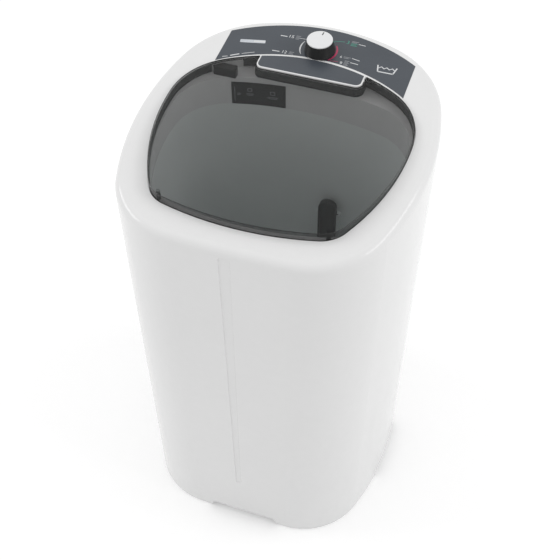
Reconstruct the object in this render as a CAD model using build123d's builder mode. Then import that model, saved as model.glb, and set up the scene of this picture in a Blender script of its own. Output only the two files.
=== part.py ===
from build123d import *
from dataclasses import dataclass
import math
import os

os.makedirs("parts", exist_ok=True)

# Semi-automatic washing machine, in millimetres
# Origin on the floor under the middle of the machine, +X to the user's right, -Y to the front, +Z up


@dataclass
class PlanForm:
    """Plan outline of eight tangent arcs, the same on both sides of the machine's middle."""

    half_width: float
    front: float
    back: float
    front_bow: float
    side_bow: float
    side_middle: float
    back_bow: float
    front_corner: float
    back_corner: float


# Cabinet shell
wall = 3.5
foot_form = PlanForm(
    half_width=287, front=-314, back=307, front_bow=2400, side_bow=596,
    side_middle=-12, back_bow=410, front_corner=158, back_corner=206,
)
crown_form = PlanForm(
    half_width=302, front=-322.5, back=322.2, front_bow=2400, side_bow=604,
    side_middle=-12, back_bow=424, front_corner=166, back_corner=216,
)
crown_height = 1040
back_edge = 321
deck_back_height = 1010
deck_slope = 6.9
shoulder_radius = 18
skirt_radius = 7

# Feet and arches of the skirt
arch_top_half_width = 77
arch_foot_half_width = 90
arch_height = 25
arch_corner = 12
arch_x = 6
arch_y = -12
sole = 4
sole_reach = 13
flange_height = 26
flange_thickness = 4
flange_reach = 28

# Channel down the front
channel_x = -3
channel_top = 912
channel_foot = 150
channel_top_half_width = 11
channel_foot_half_width = 5
channel_depth = 1.8
channel_side = 2.2
channel_round = 4.5

# Lid
lid_form = PlanForm(
    half_width=251.5, front=-266.5, back=198.7, front_bow=657, side_bow=476,
    side_middle=13, back_bow=349, front_corner=63, back_corner=145,
)
lid_slope = 4.9
lid_drop = 2.2
lid_gap = 1.5
lid_plate = 3.2
skirt_wall = 2.6
skirt_depth = 22
lid_edge_radius = 1.4
mouth_ledge = 26.5
bumper_radius = 4
bumper_height = 10
bumper_x = 165
bumper_margin = 3.5
rest_clearance = 0.3
spout_notch_margin = 4
spout_notch_clearance = 1

# Tongue at the back of the mouth
tongue_half_width = 113
tongue_front = 143
tongue_corner = 14
tongue_rise = 1.5
tongue_edge_radius = 1.0

# Lid hinge
hinge_y = 168
hinge_drop = 3.0
pin_radius = 2.2
pin_fit = 0.05
ear_radius = 4.0
ear_length = 12
boss_radius = 4.2
boss_length = 12
swing_relief_radius = 3.8
swing_relief_start = 136
swing_relief_length = 9.5
collar_fit = 0.05

# Collar and tub
tub_form = PlanForm(
    half_width=247, front=-250, back=152, front_bow=640, side_bow=470,
    side_middle=5, back_bow=600, front_corner=70, back_corner=118,
)
tub_foot_form = PlanForm(
    half_width=232, front=-234, back=138, front_bow=620, side_bow=452,
    side_middle=5, back_bow=580, front_corner=66, back_corner=108,
)
collar_foot = 897
tub_wall = 3
tub_flange = 14
tub_screw_count = 14
tub_floor = 352
tub_round = 36
tub_centre = -49
well_radius = 146
well_depth = 16
drain_x = 150
drain_y = -165
drain_radius = 24
strainer_thickness = 2.5
strainer_seat = 4
strainer_hole_radius = 3
strainer_hole_circle = 14
strainer_hole_count = 8

# Screws
screw_radius = 1.9
screw_head_radius = 4.2
screw_head = 2.4
screw_length = 6
screw_proud = 0.4
bolt_radius = 3
bolt_head_radius = 5.6
bolt_head = 4
wide_head_radius = 9
thread_fit = 0.05
hole_clearance = 0.4

# Pulsator and its drive
pulsator_gap = 4
pulsator_rim = 8
pulsator_wall = 4
pulsator_crown = 44
crown_radius = 34
crown_bevel = 6
pulsator_hub_radius = 24
dish_rise = 0.14
dish_radius = 190
dish_turn = 26
vane_count = 6
vane_height = 22
vane_thickness = 14
vane_round = 4.6
vane_root_radius = 27
vane_swell_radius = 88
cap_radius = 24
cap_height = 9
cap_wall = 2
cap_round = 5.4
shaft_radius = 8.5
running_fit = 0.05
seat_fit = 0.02
housing_flange_radius = 74
housing_flange = 6
housing_hub_radius = 27
housing_nose = 2
housing_rib = 5
housing_rib_root = 2
housing_rib_lift = 12
housing_rib_margin = 12
housing_bore_gap = 3
bearing_radius = 18.5
bearing_length = 13
bearing_ring = 3.5
bearing_groove = 0.8
seal_length = 9
housing_bolt_circle = 58
housing_bolt_count = 6
pulley_height = 226
pulley_clearance = 2
large_pulley_radius = 118
large_pulley_width = 16
pulley_rim = 10
pulley_web = 4
pulley_hub_radius = 20
pulley_hole_radius = 24
pulley_hole_circle = 66
pulley_hole_count = 6
groove_depth = 8
groove_slope = 1.5
small_pulley_radius = 24
small_pulley_width = 22
nut_radius = 13
nut_height = 8
shaft_end = 12
belt_thickness = 7
belt_width = 9
belt_gap = 0.3

# Motor and its plate
motor_distance = 186
motor_radius = 62
motor_height = 84
motor_wall = 4
motor_rib_count = 16
motor_rib = 2
motor_cover_height = 20
motor_flange_radius = 78
motor_hub_radius = 18
rotor_gap = 2
motor_flange = 5
motor_bolt_circle = 70
motor_bolt_count = 4
motor_shaft_radius = 6
fan_radius = 44
fan_height = 9
fan_disc = 2
fan_clearance = 2
fan_blade_count = 8
fan_blade = 2
fan_blade_length = 31
fan_blade_circle = 27
fan_hub_radius = 13
plate_thickness = 3
plate_height = 196
plate_front_half_width = 182
plate_front = -38
plate_back_half_width = 126
plate_margin = 8
plate_end_half_width = 47
plate_window_length = 236
plate_window_width = 56
hanger_radius = 9
hanger_front_x = 166
hanger_front_y = -20
hanger_back_x = 132
hanger_back_y = 84
capacitor_radius = 19
capacitor_length = 78
capacitor_x = 112
capacitor_y = 118
capacitor_round = 2
terminal_x = 6
terminal_width = 6
terminal_height = 8
terminal_thickness = 1
clamp_thickness = 1.5
clamp_height = 14
clamp_lift = 10
clamp_tab = 14
clamp_link = 7.7
clamp_link_reach = 9.8

# Controls
panel_half_width = 201
panel_back = 300
panel_back_bow = 367
bead_width = 5.5
overlay = 0.4
knob_y = 229
knob_foot_radius = 28
knob_radius = 32.5
knob_top_radius = 27
knob_step = 3.9
knob_skirt_height = 28.5
knob_cap_height = 2.5
knob_cap_round = 1
knob_wall = 3
knob_clearance = 0.5
knob_hub_radius = 8
timer_width = 58
timer_length = 42
timer_depth = 34
timer_corner = 4
timer_socket = 23.8
timer_shaft_radius = 3
timer_collar_radius = 6
timer_screw_x = 19
badge_inset = 3

# Collar fittings
plaque_length = 113
plaque_height = 55
plaque_x = -104.5
plaque_lift = 1
plaque_thickness = 1.2
spout_x = -175
spout_front = 127
spout_back = 143
spout_width = 50
spout_height = 20
spout_wall = 2
spout_corner = 3
spout_clearance = 1
sleeve_gap = 1.2
riser_y = 139

# Fittings through the back wall
fitting_pad = 20
fitting_pad_rise = 0.6
fitting_depth = 24
fitting_corner = 4
fitting_hole_clearance = 0.3
union_flange = 3
lock_nut = 5
lock_nut_radius = 15
outlet_nut_radius = 15.5
nozzle_x = -150
nozzle_height = 925
nozzle_radius = 13.2
nozzle_length = 17
nozzle_neck = 9.5
nozzle_bore = 7.5
tube_radius = 7.5
tube_bore = 5
tube_bend = 16
tube_sleeve = 10
tube_run_y = 178
stub_wall = 1.5
outlet_x = 100
outlet_height = 60
outlet_radius = 12.5
outlet_length = 16
outlet_bore = 9.5
outlet_inset = 14
pipe_radius = 13
pipe_bore = 10.5
pipe_bend = 34
gland_x = -98
gland_height = 96
gland_radius = 9
gland_length = 12
gland_round = 2
cord_radius = 3.5

# Lint filter
filter_x = 62
filter_top = 690
filter_height = 176
filter_width = 41
filter_depth = 15
filter_cap = 40
filter_shoulder = 20
filter_border = 5
filter_flange = 4
filter_flange_thickness = 2.6
mesh_thickness = 0.8
rail_clearance = 0.3
rail_wall = 3
rail_front_wall = 2.4
rail_stop = 4

# Base plate
base_thickness = 3
base_clearance = 1.0
base_screw_reach = 58
base_screw_margin = 20
vent_length = 88
vent_width = 7
vent_pitch = 18
vent_count = 5
vent_spread = 172

# Service cover on the back
cover_half_width = 112
cover_foot = 150
cover_top = 430
cover_corner = 20
cover_clearance = 0.6
cover_lip = 14
cover_lip_thickness = 3
louvre_count = 8
louvre_pitch = 15
louvre_length = 70
louvre_width = 5
louvre_foot = 215
louvre_x = 48


def slope_plane(height, slope, lift=0.0):
    """Plane through the back edge at a height, falling to the front, lifted along its normal."""
    angle = math.radians(slope)
    plane = Plane(
        origin=(0, back_edge, height),
        x_dir=(1, 0, 0),
        z_dir=(0, -math.sin(angle), math.cos(angle)),
    )
    return plane.offset(lift)


def deck(lift=0.0):
    """Plane of the deck."""
    return slope_plane(deck_back_height, deck_slope, lift)


def lid_top(lift=0.0):
    """Plane of the lid plate's upper face."""
    return slope_plane(deck_back_height - lid_drop, lid_slope, lift)


def deck_height(y):
    """Height of the deck above the floor at a place y."""
    return deck_back_height + math.tan(math.radians(deck_slope)) * (y - back_edge)


def lid_height(y):
    """Height of the lid plate's upper face at a place y."""
    return deck_back_height - lid_drop + math.tan(math.radians(lid_slope)) * (y - back_edge)


def circles_meet(centre_a, radius_a, centre_b, radius_b):
    """Meeting point of two circles that lies on the outer side, away from the middle."""
    span = centre_b - centre_a
    along = (radius_a**2 - radius_b**2 + span.length**2) / (2 * span.length)
    across = math.sqrt(radius_a**2 - along**2)
    unit = span.normalized()
    foot = centre_a + unit * along
    side = Vector(-unit.Y, unit.X) * across
    return max((foot + side, foot - side), key=lambda point: point.X)


def plan(form, inset=0.0):
    """Face bounded by a plan form's eight arcs, drawn parallel to them and moved in by inset."""
    front_centre = Vector(0, form.front + form.front_bow)
    side_centre = Vector(form.half_width - form.side_bow, form.side_middle)
    back_centre = Vector(0, form.back - form.back_bow)
    front_corner = circles_meet(
        front_centre, form.front_bow - form.front_corner,
        side_centre, form.side_bow - form.front_corner,
    )
    back_corner = circles_meet(
        back_centre, form.back_bow - form.back_corner,
        side_centre, form.side_bow - form.back_corner,
    )

    def reach(centre, towards, radius):
        return centre + (towards - centre).normalized() * (radius - inset)

    def arc(centre, start, end):
        radius = (start - centre).length
        middle = (start - centre).normalized() + (end - centre).normalized()
        return ThreePointArc(start, centre + middle.normalized() * radius, end)

    def flip(point):
        return Vector(-point.X, point.Y)

    front_end = reach(front_centre, front_corner, form.front_bow)
    side_start = reach(side_centre, front_corner, form.side_bow)
    side_end = reach(side_centre, back_corner, form.side_bow)
    back_end = reach(back_centre, back_corner, form.back_bow)
    with BuildSketch() as face:
        with BuildLine():
            arc(front_centre, flip(front_end), front_end)
            arc(front_corner, front_end, side_start)
            arc(side_centre, side_start, side_end)
            arc(back_corner, side_end, back_end)
            arc(back_centre, back_end, flip(back_end))
            arc(flip(back_corner), flip(back_end), flip(side_end))
            arc(flip(side_centre), flip(side_end), flip(side_start))
            arc(flip(front_corner), flip(side_start), flip(front_end))
        make_face()
    return face.sketch


def column(face, low, high):
    """Upright solid on a face, cut off by a lower and an upper plane."""
    with BuildPart() as solid:
        with BuildSketch(Plane.XY.offset(low.origin.Z - 200)):
            add(face)
        extrude(amount=high.origin.Z - low.origin.Z + 400)
        split(bisect_by=high, keep=Keep.BOTTOM)
        split(bisect_by=low, keep=Keep.TOP)
    return solid.part


def cabinet_volume(inset, shoulder, skirt=0.0):
    """Drafted volume of the cabinet under the deck, moved in by inset, with rounded edges."""
    with BuildPart() as volume:
        with BuildSketch(Plane.XY):
            add(plan(foot_form, inset))
        with BuildSketch(Plane.XY.offset(crown_height)):
            add(plan(crown_form, inset))
        loft(ruled=True)
        split(bisect_by=deck(-inset), keep=Keep.BOTTOM)
        fillet(volume.faces().sort_by(Axis.Z)[-1].edges(), shoulder)
        if skirt:
            fillet(volume.faces().sort_by(Axis.Z)[0].edges(), skirt)
    return volume.part


def tongue_face(grow=0.0, rear_inset=None):
    """Plan of the tongue, grown on its front and sides, closed at the back by the lid's outline."""
    with BuildSketch() as face:
        with Locations((0, tongue_front - grow)):
            Rectangle(
                2 * (tongue_half_width + grow),
                2 * lid_form.back,
                align=(Align.CENTER, Align.MIN),
            )
        fillet(face.vertices().group_by(Axis.Y)[0], tongue_corner + grow)
        if rear_inset is not None:
            add(plan(lid_form, rear_inset), mode=Mode.INTERSECT)
    return face.sketch


def mouth_face(inset=0.0, grow=0.0):
    """Plan of the lid, moved in by inset, without the tongue grown by grow."""
    with BuildSketch() as face:
        add(plan(lid_form, inset))
        add(tongue_face(grow), mode=Mode.SUBTRACT)
    return face.sketch


def ring_face(form, outer_inset, inner_inset):
    """Plan ring between two outlines parallel to a plan form."""
    with BuildSketch() as face:
        add(plan(form, outer_inset))
        add(plan(form, inner_inset), mode=Mode.SUBTRACT)
    return face.sketch


def form_at(z):
    """Plan form of the drafted cabinet at a height."""
    share = z / crown_height
    pairs = zip(vars(foot_form).values(), vars(crown_form).values())
    return PlanForm(*[low + share * (high - low) for low, high in pairs])


def front_y(form, x):
    """Place along Y of a plan form's front arc at a side distance."""
    return form.front + form.front_bow - math.sqrt(form.front_bow**2 - x**2)


def arc_back_y(form, x):
    """Place along Y of a plan form's back arc at a side distance."""
    return form.back - form.back_bow + math.sqrt(form.back_bow**2 - x**2)


def back_y(x, z):
    """Place along Y of the cabinet's back wall at a side distance and a height."""
    return arc_back_y(form_at(z), x)


def fitting_face(x, z):
    """Place along Y of a fitting's flat seat, just proud of the curved back wall."""
    return back_y(abs(x) - fitting_pad, z) + fitting_pad_rise


def corner_face():
    """Four square corners of the base, outside the arches of the skirt."""
    with BuildSketch() as face:
        Rectangle(4 * foot_form.half_width, 4 * foot_form.half_width)
        with Locations((arch_x, 0)):
            Rectangle(2 * arch_foot_half_width, 4 * foot_form.half_width, mode=Mode.SUBTRACT)
        with Locations((0, arch_y)):
            Rectangle(4 * foot_form.half_width, 2 * arch_foot_half_width, mode=Mode.SUBTRACT)
    return face.sketch


def rod(radius, start, direction, length, bore=0.0):
    """Round bar from a point along a direction, with an optional bore."""
    with BuildPart() as bar:
        with BuildSketch(Plane(origin=start, z_dir=direction)):
            Circle(radius)
            if bore:
                Circle(bore, mode=Mode.SUBTRACT)
        extrude(amount=length)
    return bar.part


def square_bar(half_side, start, direction, length):
    """Square bar with rounded edges from a point along a direction."""
    with BuildPart() as bar:
        with BuildSketch(Plane(origin=start, x_dir=(1, 0, 0), z_dir=direction)):
            RectangleRounded(2 * half_side, 2 * half_side, fitting_corner)
        extrude(amount=length)
    return bar.part


def ring(radius, low, high, bore=0.0, centre=(0, 0)):
    """Upright round bar or ring between two heights."""
    return rod(radius, (centre[0], centre[1], low), (0, 0, 1), high - low, bore)


def screw(radius, length, head_radius, head_height):
    """Screw with its head on the XY plane and its shank along -Z."""
    with BuildPart() as piece:
        with BuildSketch():
            Circle(head_radius)
        extrude(amount=head_height)
        fillet(piece.edges().sort_by(Axis.Z)[-1], head_height / 2)
        with BuildSketch():
            Circle(radius)
        extrude(amount=-length)
    return piece.part


def finish(builder, name):
    """Label a finished piece and write it."""
    builder.part.label = name
    export_step(builder.part, f"parts/{name}.step")


# Places worked out from the sizes above
floor_plane = Plane.XY
collar_plane = Plane.XY.offset(collar_foot)
ledge_top = lid_top(-mouth_ledge)
ledge_bottom = lid_top(-mouth_ledge - wall)
hinge_height = lid_height(hinge_y) - hinge_drop
spout_low = lid_height(riser_y) - mouth_ledge
outward = (0, 1, 0)
inward = (0, -1, 0)
well_foot = tub_floor - well_depth
well_under = well_foot - tub_wall
filter_foot = filter_top - filter_height
nozzle_face = fitting_face(nozzle_x, nozzle_height)
outlet_face = fitting_face(outlet_x, outlet_height)
gland_face = fitting_face(gland_x, gland_height)
motor_y = tub_centre + motor_distance
plate_top = plate_height + plate_thickness
deck_turn = math.radians(deck_slope)
deck_normal = (0, -math.sin(deck_turn), math.cos(deck_turn))
deck_clear = 50


def knob_plane(lift=0.0):
    """Plane on the knob's axis, parallel to the deck."""
    return Plane(
        origin=(0, knob_y, deck_height(knob_y)), x_dir=(1, 0, 0), z_dir=deck_normal
    ).offset(lift)


def tub_volume(inset):
    """Drafted volume of the tub with a rounded floor, moved in by inset."""
    with BuildPart() as volume:
        with BuildSketch(Plane.XY.offset(tub_floor + inset)):
            add(plan(tub_foot_form, inset))
        with BuildSketch(collar_plane):
            add(plan(tub_form, inset))
        loft(ruled=True)
        fillet(volume.faces().sort_by(Axis.Z)[0].edges(), tub_round - inset)
    return volume.part


drain = (drain_x, drain_y)
spin_axis = Axis((0, tub_centre, 0), (0, 0, 1))
motor_axis = Axis((0, motor_y, 0), (0, 0, 1))


def circle_places(radius, count, height, centre_y, turn=0.5):
    """Points spread evenly round an upright axis on the machine's middle."""
    angles = [2 * math.pi * (i + turn) / count for i in range(count)]
    return [(radius * math.cos(a), centre_y + radius * math.sin(a), height) for a in angles]


def housing_bolt_places(height):
    """Points of the bolts that hold the bearing housing under the tub."""
    return circle_places(housing_bolt_circle, housing_bolt_count, height, tub_centre)


def motor_bolt_places(height):
    """Points of the bolts that hold the motor under its plate."""
    return circle_places(motor_bolt_circle, motor_bolt_count, height, motor_y)


def clamp_places(height):
    """Points of the two screws of the capacitor's clamp."""
    reach = capacitor_radius + clamp_tab
    return [(capacitor_x, capacitor_y + side * reach, height) for side in (-1, 1)]


def hanger_places(height):
    """Points of the four hangers between the tub's floor and the motor plate."""
    return [
        (side * x, y, height)
        for side in (-1, 1)
        for x, y in ((hanger_front_x, hanger_front_y), (hanger_back_x, hanger_back_y))
    ]


def base_screw_places(height):
    """Planes of the base plate's screws, two on each side, looking down."""
    side = foot_form.half_width - base_screw_margin
    places = []
    for turn in (-1, 1):
        reach = turn * base_screw_reach
        places.append((side, arch_y + reach))
        places.append((-side, arch_y + reach))
        places.append((reach, front_y(foot_form, reach) + base_screw_margin))
        places.append((reach, arc_back_y(foot_form, reach) - base_screw_margin))
    return [Plane(origin=(x, y, height), x_dir=(1, 0, 0), z_dir=(0, 0, -1)) for x, y in places]


def tub_screw_places(height):
    """Planes of the screws round the tub's flange, looking down."""
    line = plan(tub_form, -(wall + tub_flange) / 2).face().outer_wire()
    points = [line.position_at((i + 0.5) / tub_screw_count) for i in range(tub_screw_count)]
    return [Plane(origin=(p.X, p.Y, height), x_dir=(1, 0, 0), z_dir=(0, 0, -1)) for p in points]


def cover_face(grow=0.0):
    """Outline of the service opening in the back, seen from behind."""
    with BuildSketch() as face:
        with Locations((0, (cover_foot + cover_top) / 2)):
            RectangleRounded(
                2 * (cover_half_width + grow),
                cover_top - cover_foot + 2 * grow,
                cover_corner + grow,
            )
    return face.sketch


def cover_block(grow):
    """Block through the back wall with the outline of the service opening."""
    with BuildPart() as block:
        with BuildSketch(Plane.XZ.offset(-back_edge / 2)):
            add(cover_face(grow))
        extrude(amount=-back_edge)
    return block.part


def wall_band(outer_inset, inner_inset):
    """Drafted band that follows the cabinet's side walls between two insets."""
    with BuildPart() as band:
        for inset, mode in ((outer_inset, Mode.ADD), (inner_inset, Mode.SUBTRACT)):
            with BuildSketch(Plane.XY):
                add(plan(foot_form, inset))
            with BuildSketch(Plane.XY.offset(crown_height)):
                add(plan(crown_form, inset))
            loft(ruled=True, mode=mode)
    return band.part


def cover_screw_places():
    """Planes of the service cover's screws on the curved back, looking outward."""
    side = cover_half_width - cover_lip / 2
    places = []
    for x in (-side, 0, side):
        for z in (cover_foot + cover_lip / 2, cover_top - cover_lip / 2):
            places.append((x, z))
    return [
        Plane(
            origin=(x, back_y(x, z), z),
            z_dir=(x, math.sqrt(form_at(z).back_bow ** 2 - x**2), 0),
        )
        for x, z in places
    ]


def timer_screw_places():
    """Planes of the timer's two screws on the deck, under the knob."""
    return [
        Plane(origin=knob_plane().from_local_coords((x, 0, 0)), z_dir=deck_normal)
        for x in (-timer_screw_x, timer_screw_x)
    ]


# Cabinet: shell, deck, wall round the mouth, channel and feet in one moulding
front_lean = math.atan((foot_form.front - crown_form.front) / crown_height)
channel_plane = Plane(
    origin=(channel_x, foot_form.front, 0),
    x_dir=(1, 0, 0),
    z_dir=(0, -math.cos(front_lean), -math.sin(front_lean)),
)


def channel_face(grow):
    """Long wedge with round ends, wide at the shoulder and narrow at the foot."""
    with BuildSketch() as face:
        with BuildLine():
            Polyline(
                (-channel_top_half_width - grow, channel_top + grow),
                (-channel_foot_half_width - grow, channel_foot - grow),
                (channel_foot_half_width + grow, channel_foot - grow),
                (channel_top_half_width + grow, channel_top + grow),
                close=True,
            )
        make_face()
        fillet(face.vertices(), channel_round + grow)
    return face.sketch


with BuildPart() as channel_cut:
    with BuildSketch(channel_plane.offset(channel_side)):
        add(channel_face(channel_side))
    with BuildSketch(channel_plane.offset(-channel_depth)):
        add(channel_face(0))
    loft(ruled=True)

outer_volume = cabinet_volume(0, shoulder_radius, skirt_radius)

with BuildPart() as skirt_frame:
    with BuildSketch(floor_plane):
        add(ring_face(foot_form, 0, sole_reach))
        add(corner_face(), mode=Mode.INTERSECT)
    extrude(amount=sole)
    with BuildSketch(floor_plane.offset(flange_height)):
        add(ring_face(foot_form, wall / 2, flange_reach))
    extrude(amount=flange_thickness)
    add(outer_volume, mode=Mode.INTERSECT)


def arch_block(plane, middle):
    """Block that cuts one pair of opposite arches in the skirt."""
    with BuildPart() as block:
        with BuildSketch(plane) as face:
            with BuildLine():
                Polyline(
                    (middle - arch_foot_half_width, -1),
                    (middle - arch_top_half_width, arch_height),
                    (middle + arch_top_half_width, arch_height),
                    (middle + arch_foot_half_width, -1),
                    close=True,
                )
            make_face()
            fillet(face.vertices().group_by(Axis.Y)[-1], arch_corner)
        extrude(amount=2 * back_edge, both=True)
    return block.part


# Lip behind the service opening, on which the cover is screwed
with BuildPart() as rear_lip:
    add(wall_band(wall, wall + cover_lip_thickness))
    add(cover_block(cover_lip), mode=Mode.INTERSECT)
    add(cover_block(-cover_lip), mode=Mode.SUBTRACT)

# Seats of the fittings: two round ones, and a square one that keeps the cord gland from turning
round_seats = (
    (nozzle_x, nozzle_height, nozzle_face, nozzle_neck),
    (outlet_x, outlet_height, outlet_face, outlet_radius),
)
gland_seat = (gland_x, gland_face, gland_height)
gland_back = (gland_x, gland_face - wall, gland_height)

with BuildPart() as cabinet:
    add(outer_volume)
    add(cabinet_volume(wall, shoulder_radius - wall), mode=Mode.SUBTRACT)
    add(channel_cut.part, mode=Mode.SUBTRACT)
    add(column(ring_face(lid_form, -lid_gap - wall, -lid_gap), ledge_top, deck(-wall / 2)))
    add(column(plan(lid_form, -lid_gap), ledge_bottom, deck(deck_clear)), mode=Mode.SUBTRACT)
    for side in (-1, 1):
        start = (side * swing_relief_start, hinge_y, hinge_height)
        relief = rod(swing_relief_radius, start, (side, 0, 0), swing_relief_length)
        add(relief, mode=Mode.SUBTRACT)
    add(skirt_frame.part)
    add(arch_block(Plane.XZ, arch_x), mode=Mode.SUBTRACT)
    add(arch_block(Plane.YZ, arch_y), mode=Mode.SUBTRACT)
    for x, z, face, hole in round_seats:
        depth = face - back_edge / 2
        add(rod(fitting_pad, (x, face, z), inward, fitting_depth))
        add(rod(fitting_pad - wall, (x, face - wall, z), inward, depth), mode=Mode.SUBTRACT)
        hole_radius = hole + fitting_hole_clearance
        add(rod(hole_radius, (x, face, z), inward, depth), mode=Mode.SUBTRACT)
    gland_hole = gland_radius + fitting_hole_clearance
    add(square_bar(fitting_pad, gland_seat, inward, fitting_depth))
    add(square_bar(fitting_pad - wall, gland_back, inward, back_edge / 2), mode=Mode.SUBTRACT)
    add(square_bar(gland_hole, gland_seat, inward, back_edge / 2), mode=Mode.SUBTRACT)
    add(cover_block(0), mode=Mode.SUBTRACT)
    add(rear_lip.part)
    with Locations(*cover_screw_places()):
        Hole(screw_radius + thread_fit, 2 * cover_lip)
    with Locations(*base_screw_places(flange_height + flange_thickness)):
        Cylinder(screw_radius + thread_fit, 4 * flange_thickness, mode=Mode.SUBTRACT)
    with Locations(knob_plane()):
        Cylinder(timer_collar_radius + hole_clearance, 4 * wall, mode=Mode.SUBTRACT)
    with Locations(*timer_screw_places()):
        Cylinder(screw_radius + hole_clearance, 4 * wall, mode=Mode.SUBTRACT)
finish(cabinet, "cabinet")

# Mouth collar: ledge under the mouth's wall, throat down to the tub's flange, and the hollow
# tongue that carries the badge and the hinge bosses
with BuildPart() as tongue:
    add(column(tongue_face(0, 0), ledge_bottom, lid_top(tongue_rise)))
    fillet(tongue.faces().sort_by(Axis.Z)[-1].edges(), tongue_edge_radius)
    add(column(tongue_face(0, collar_fit - lid_gap), ledge_bottom, deck()))

with BuildSketch() as tongue_exit:
    add(tongue_face(-wall, wall - lid_gap))
    add(plan(tub_form, -wall), mode=Mode.SUBTRACT)

with BuildSketch() as ledge_face:
    add(plan(lid_form, -lid_gap - wall))
    add(plan(tub_form), mode=Mode.SUBTRACT)

with BuildPart() as mouth_collar:
    add(column(ledge_face.sketch, ledge_bottom, ledge_top))
    add(column(ring_face(tub_form, -wall, 0), collar_plane, ledge_top))
    add(column(ring_face(tub_form, -tub_flange, 0), collar_plane, collar_plane.offset(wall)))
    add(tongue.part)
    add(
        column(tongue_face(-wall, wall - lid_gap), ledge_top, lid_top(tongue_rise - wall)),
        mode=Mode.SUBTRACT,
    )
    add(column(tongue_exit.sketch, ledge_bottom.offset(-1), ledge_top), mode=Mode.SUBTRACT)
    for side in (-1, 1):
        start = (side * tongue_half_width, hinge_y, hinge_height)
        add(rod(boss_radius, start, (-side, 0, 0), boss_length))
        add(rod(pin_radius + pin_fit, start, (-side, 0, 0), boss_length), mode=Mode.SUBTRACT)
    with Locations(*tub_screw_places(collar_foot)):
        Cylinder(screw_radius + thread_fit, 4 * wall, mode=Mode.SUBTRACT)
    riser = (spout_x, riser_y, spout_low - 3 * wall)
    add(rod(tube_bore + hole_clearance, riser, (0, 0, 1), 4 * wall), mode=Mode.SUBTRACT)
finish(mouth_collar, "mouth_collar")


# Lid: smoked plate with a skirt all round, a notch for the tongue and two hinge ears
def lid_plane(x, y, lift=0.0):
    """Plane on the lid plate's upper face at a place."""
    turn = math.radians(lid_slope)
    plane = Plane(
        origin=(x, y, lid_height(y)), x_dir=(1, 0, 0), z_dir=(0, -math.sin(turn), math.cos(turn))
    )
    return plane.offset(lift)


bumper_y = front_y(lid_form, bumper_x) + skirt_wall + bumper_radius + bumper_margin
bumper_places = ((-bumper_x, bumper_y), (bumper_x, bumper_y))
bumper_low = rest_clearance - mouth_ledge
bumper_high = bumper_low + bumper_height

# Part of the skirt that is left away over the water spout
with BuildSketch() as spout_notch:
    with Locations((spout_x, spout_front - spout_notch_margin)):
        Rectangle(
            spout_width + 2 * spout_notch_margin, lid_form.back, align=(Align.CENTER, Align.MIN)
        )

with BuildPart() as lid:
    add(column(mouth_face(0, lid_gap), lid_top(-skirt_depth), lid_top()))
    fillet(lid.faces().sort_by(Axis.Z)[-1].edges(), lid_edge_radius)
    add(
        column(
            mouth_face(skirt_wall, lid_gap + skirt_wall),
            lid_top(-2 * skirt_depth),
            lid_top(-lid_plate),
        ),
        mode=Mode.SUBTRACT,
    )
    notch_top = lid_top(spout_height + spout_notch_clearance - mouth_ledge)
    add(column(spout_notch.sketch, lid_top(-2 * skirt_depth), notch_top), mode=Mode.SUBTRACT)
    for side in (-1, 1):
        start = (side * (tongue_half_width + lid_gap), hinge_y, hinge_height)
        add(rod(ear_radius, start, (side, 0, 0), ear_length))
        add(rod(pin_radius + seat_fit, start, (side, 0, 0), ear_length), mode=Mode.SUBTRACT)
    for x, y in bumper_places:
        with BuildSketch(lid_plane(x, y, -lid_plate)):
            Circle(bumper_radius)
        extrude(amount=bumper_high + lid_plate)
finish(lid, "lid")

with BuildPart() as hinge_pins:
    for side in (-1, 1):
        start = (side * (tongue_half_width - boss_length), hinge_y, hinge_height)
        add(rod(pin_radius, start, (side, 0, 0), boss_length + lid_gap + ear_length))
    chamfer(hinge_pins.edges().filter_by(GeomType.CIRCLE), pin_radius / 6)
finish(hinge_pins, "hinge_pins")

with BuildPart() as lid_bumpers:
    for x, y in bumper_places:
        with BuildSketch(lid_plane(x, y, bumper_high)):
            Circle(bumper_radius)
        extrude(amount=bumper_low - bumper_high)
    fillet(lid_bumpers.edges().filter_by(GeomType.CIRCLE).sort_by(Axis.Z)[:2], bumper_radius / 4)
finish(lid_bumpers, "lid_bumpers")

# Tub: drafted wall, flange under the collar, floor well, drain seat and filter rails
rail_y = arc_back_y(tub_foot_form, filter_x + filter_width / 2) - rail_wall
slot_depth = filter_flange_thickness + 2 * rail_clearance
slot_half_width = filter_width / 2 + filter_flange + rail_clearance
with BuildPart() as rails:
    with BuildSketch(Plane.XY.offset(filter_foot - rail_stop)):
        with Locations((filter_x, rail_y - slot_depth - rail_front_wall)):
            Rectangle(
                2 * (slot_half_width + rail_wall),
                4 * filter_depth,
                align=(Align.CENTER, Align.MIN),
            )
    extrude(amount=filter_height - filter_cap + rail_stop)
    with BuildSketch(Plane.XY.offset(filter_foot)):
        with Locations((filter_x, rail_y)):
            Rectangle(2 * slot_half_width, slot_depth, align=(Align.CENTER, Align.MAX))
            Rectangle(
                filter_width + 2 * rail_clearance, filter_depth, align=(Align.CENTER, Align.MAX)
            )
    extrude(amount=filter_height, mode=Mode.SUBTRACT)
    add(tub_volume(-tub_wall / 2), mode=Mode.INTERSECT)

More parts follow.
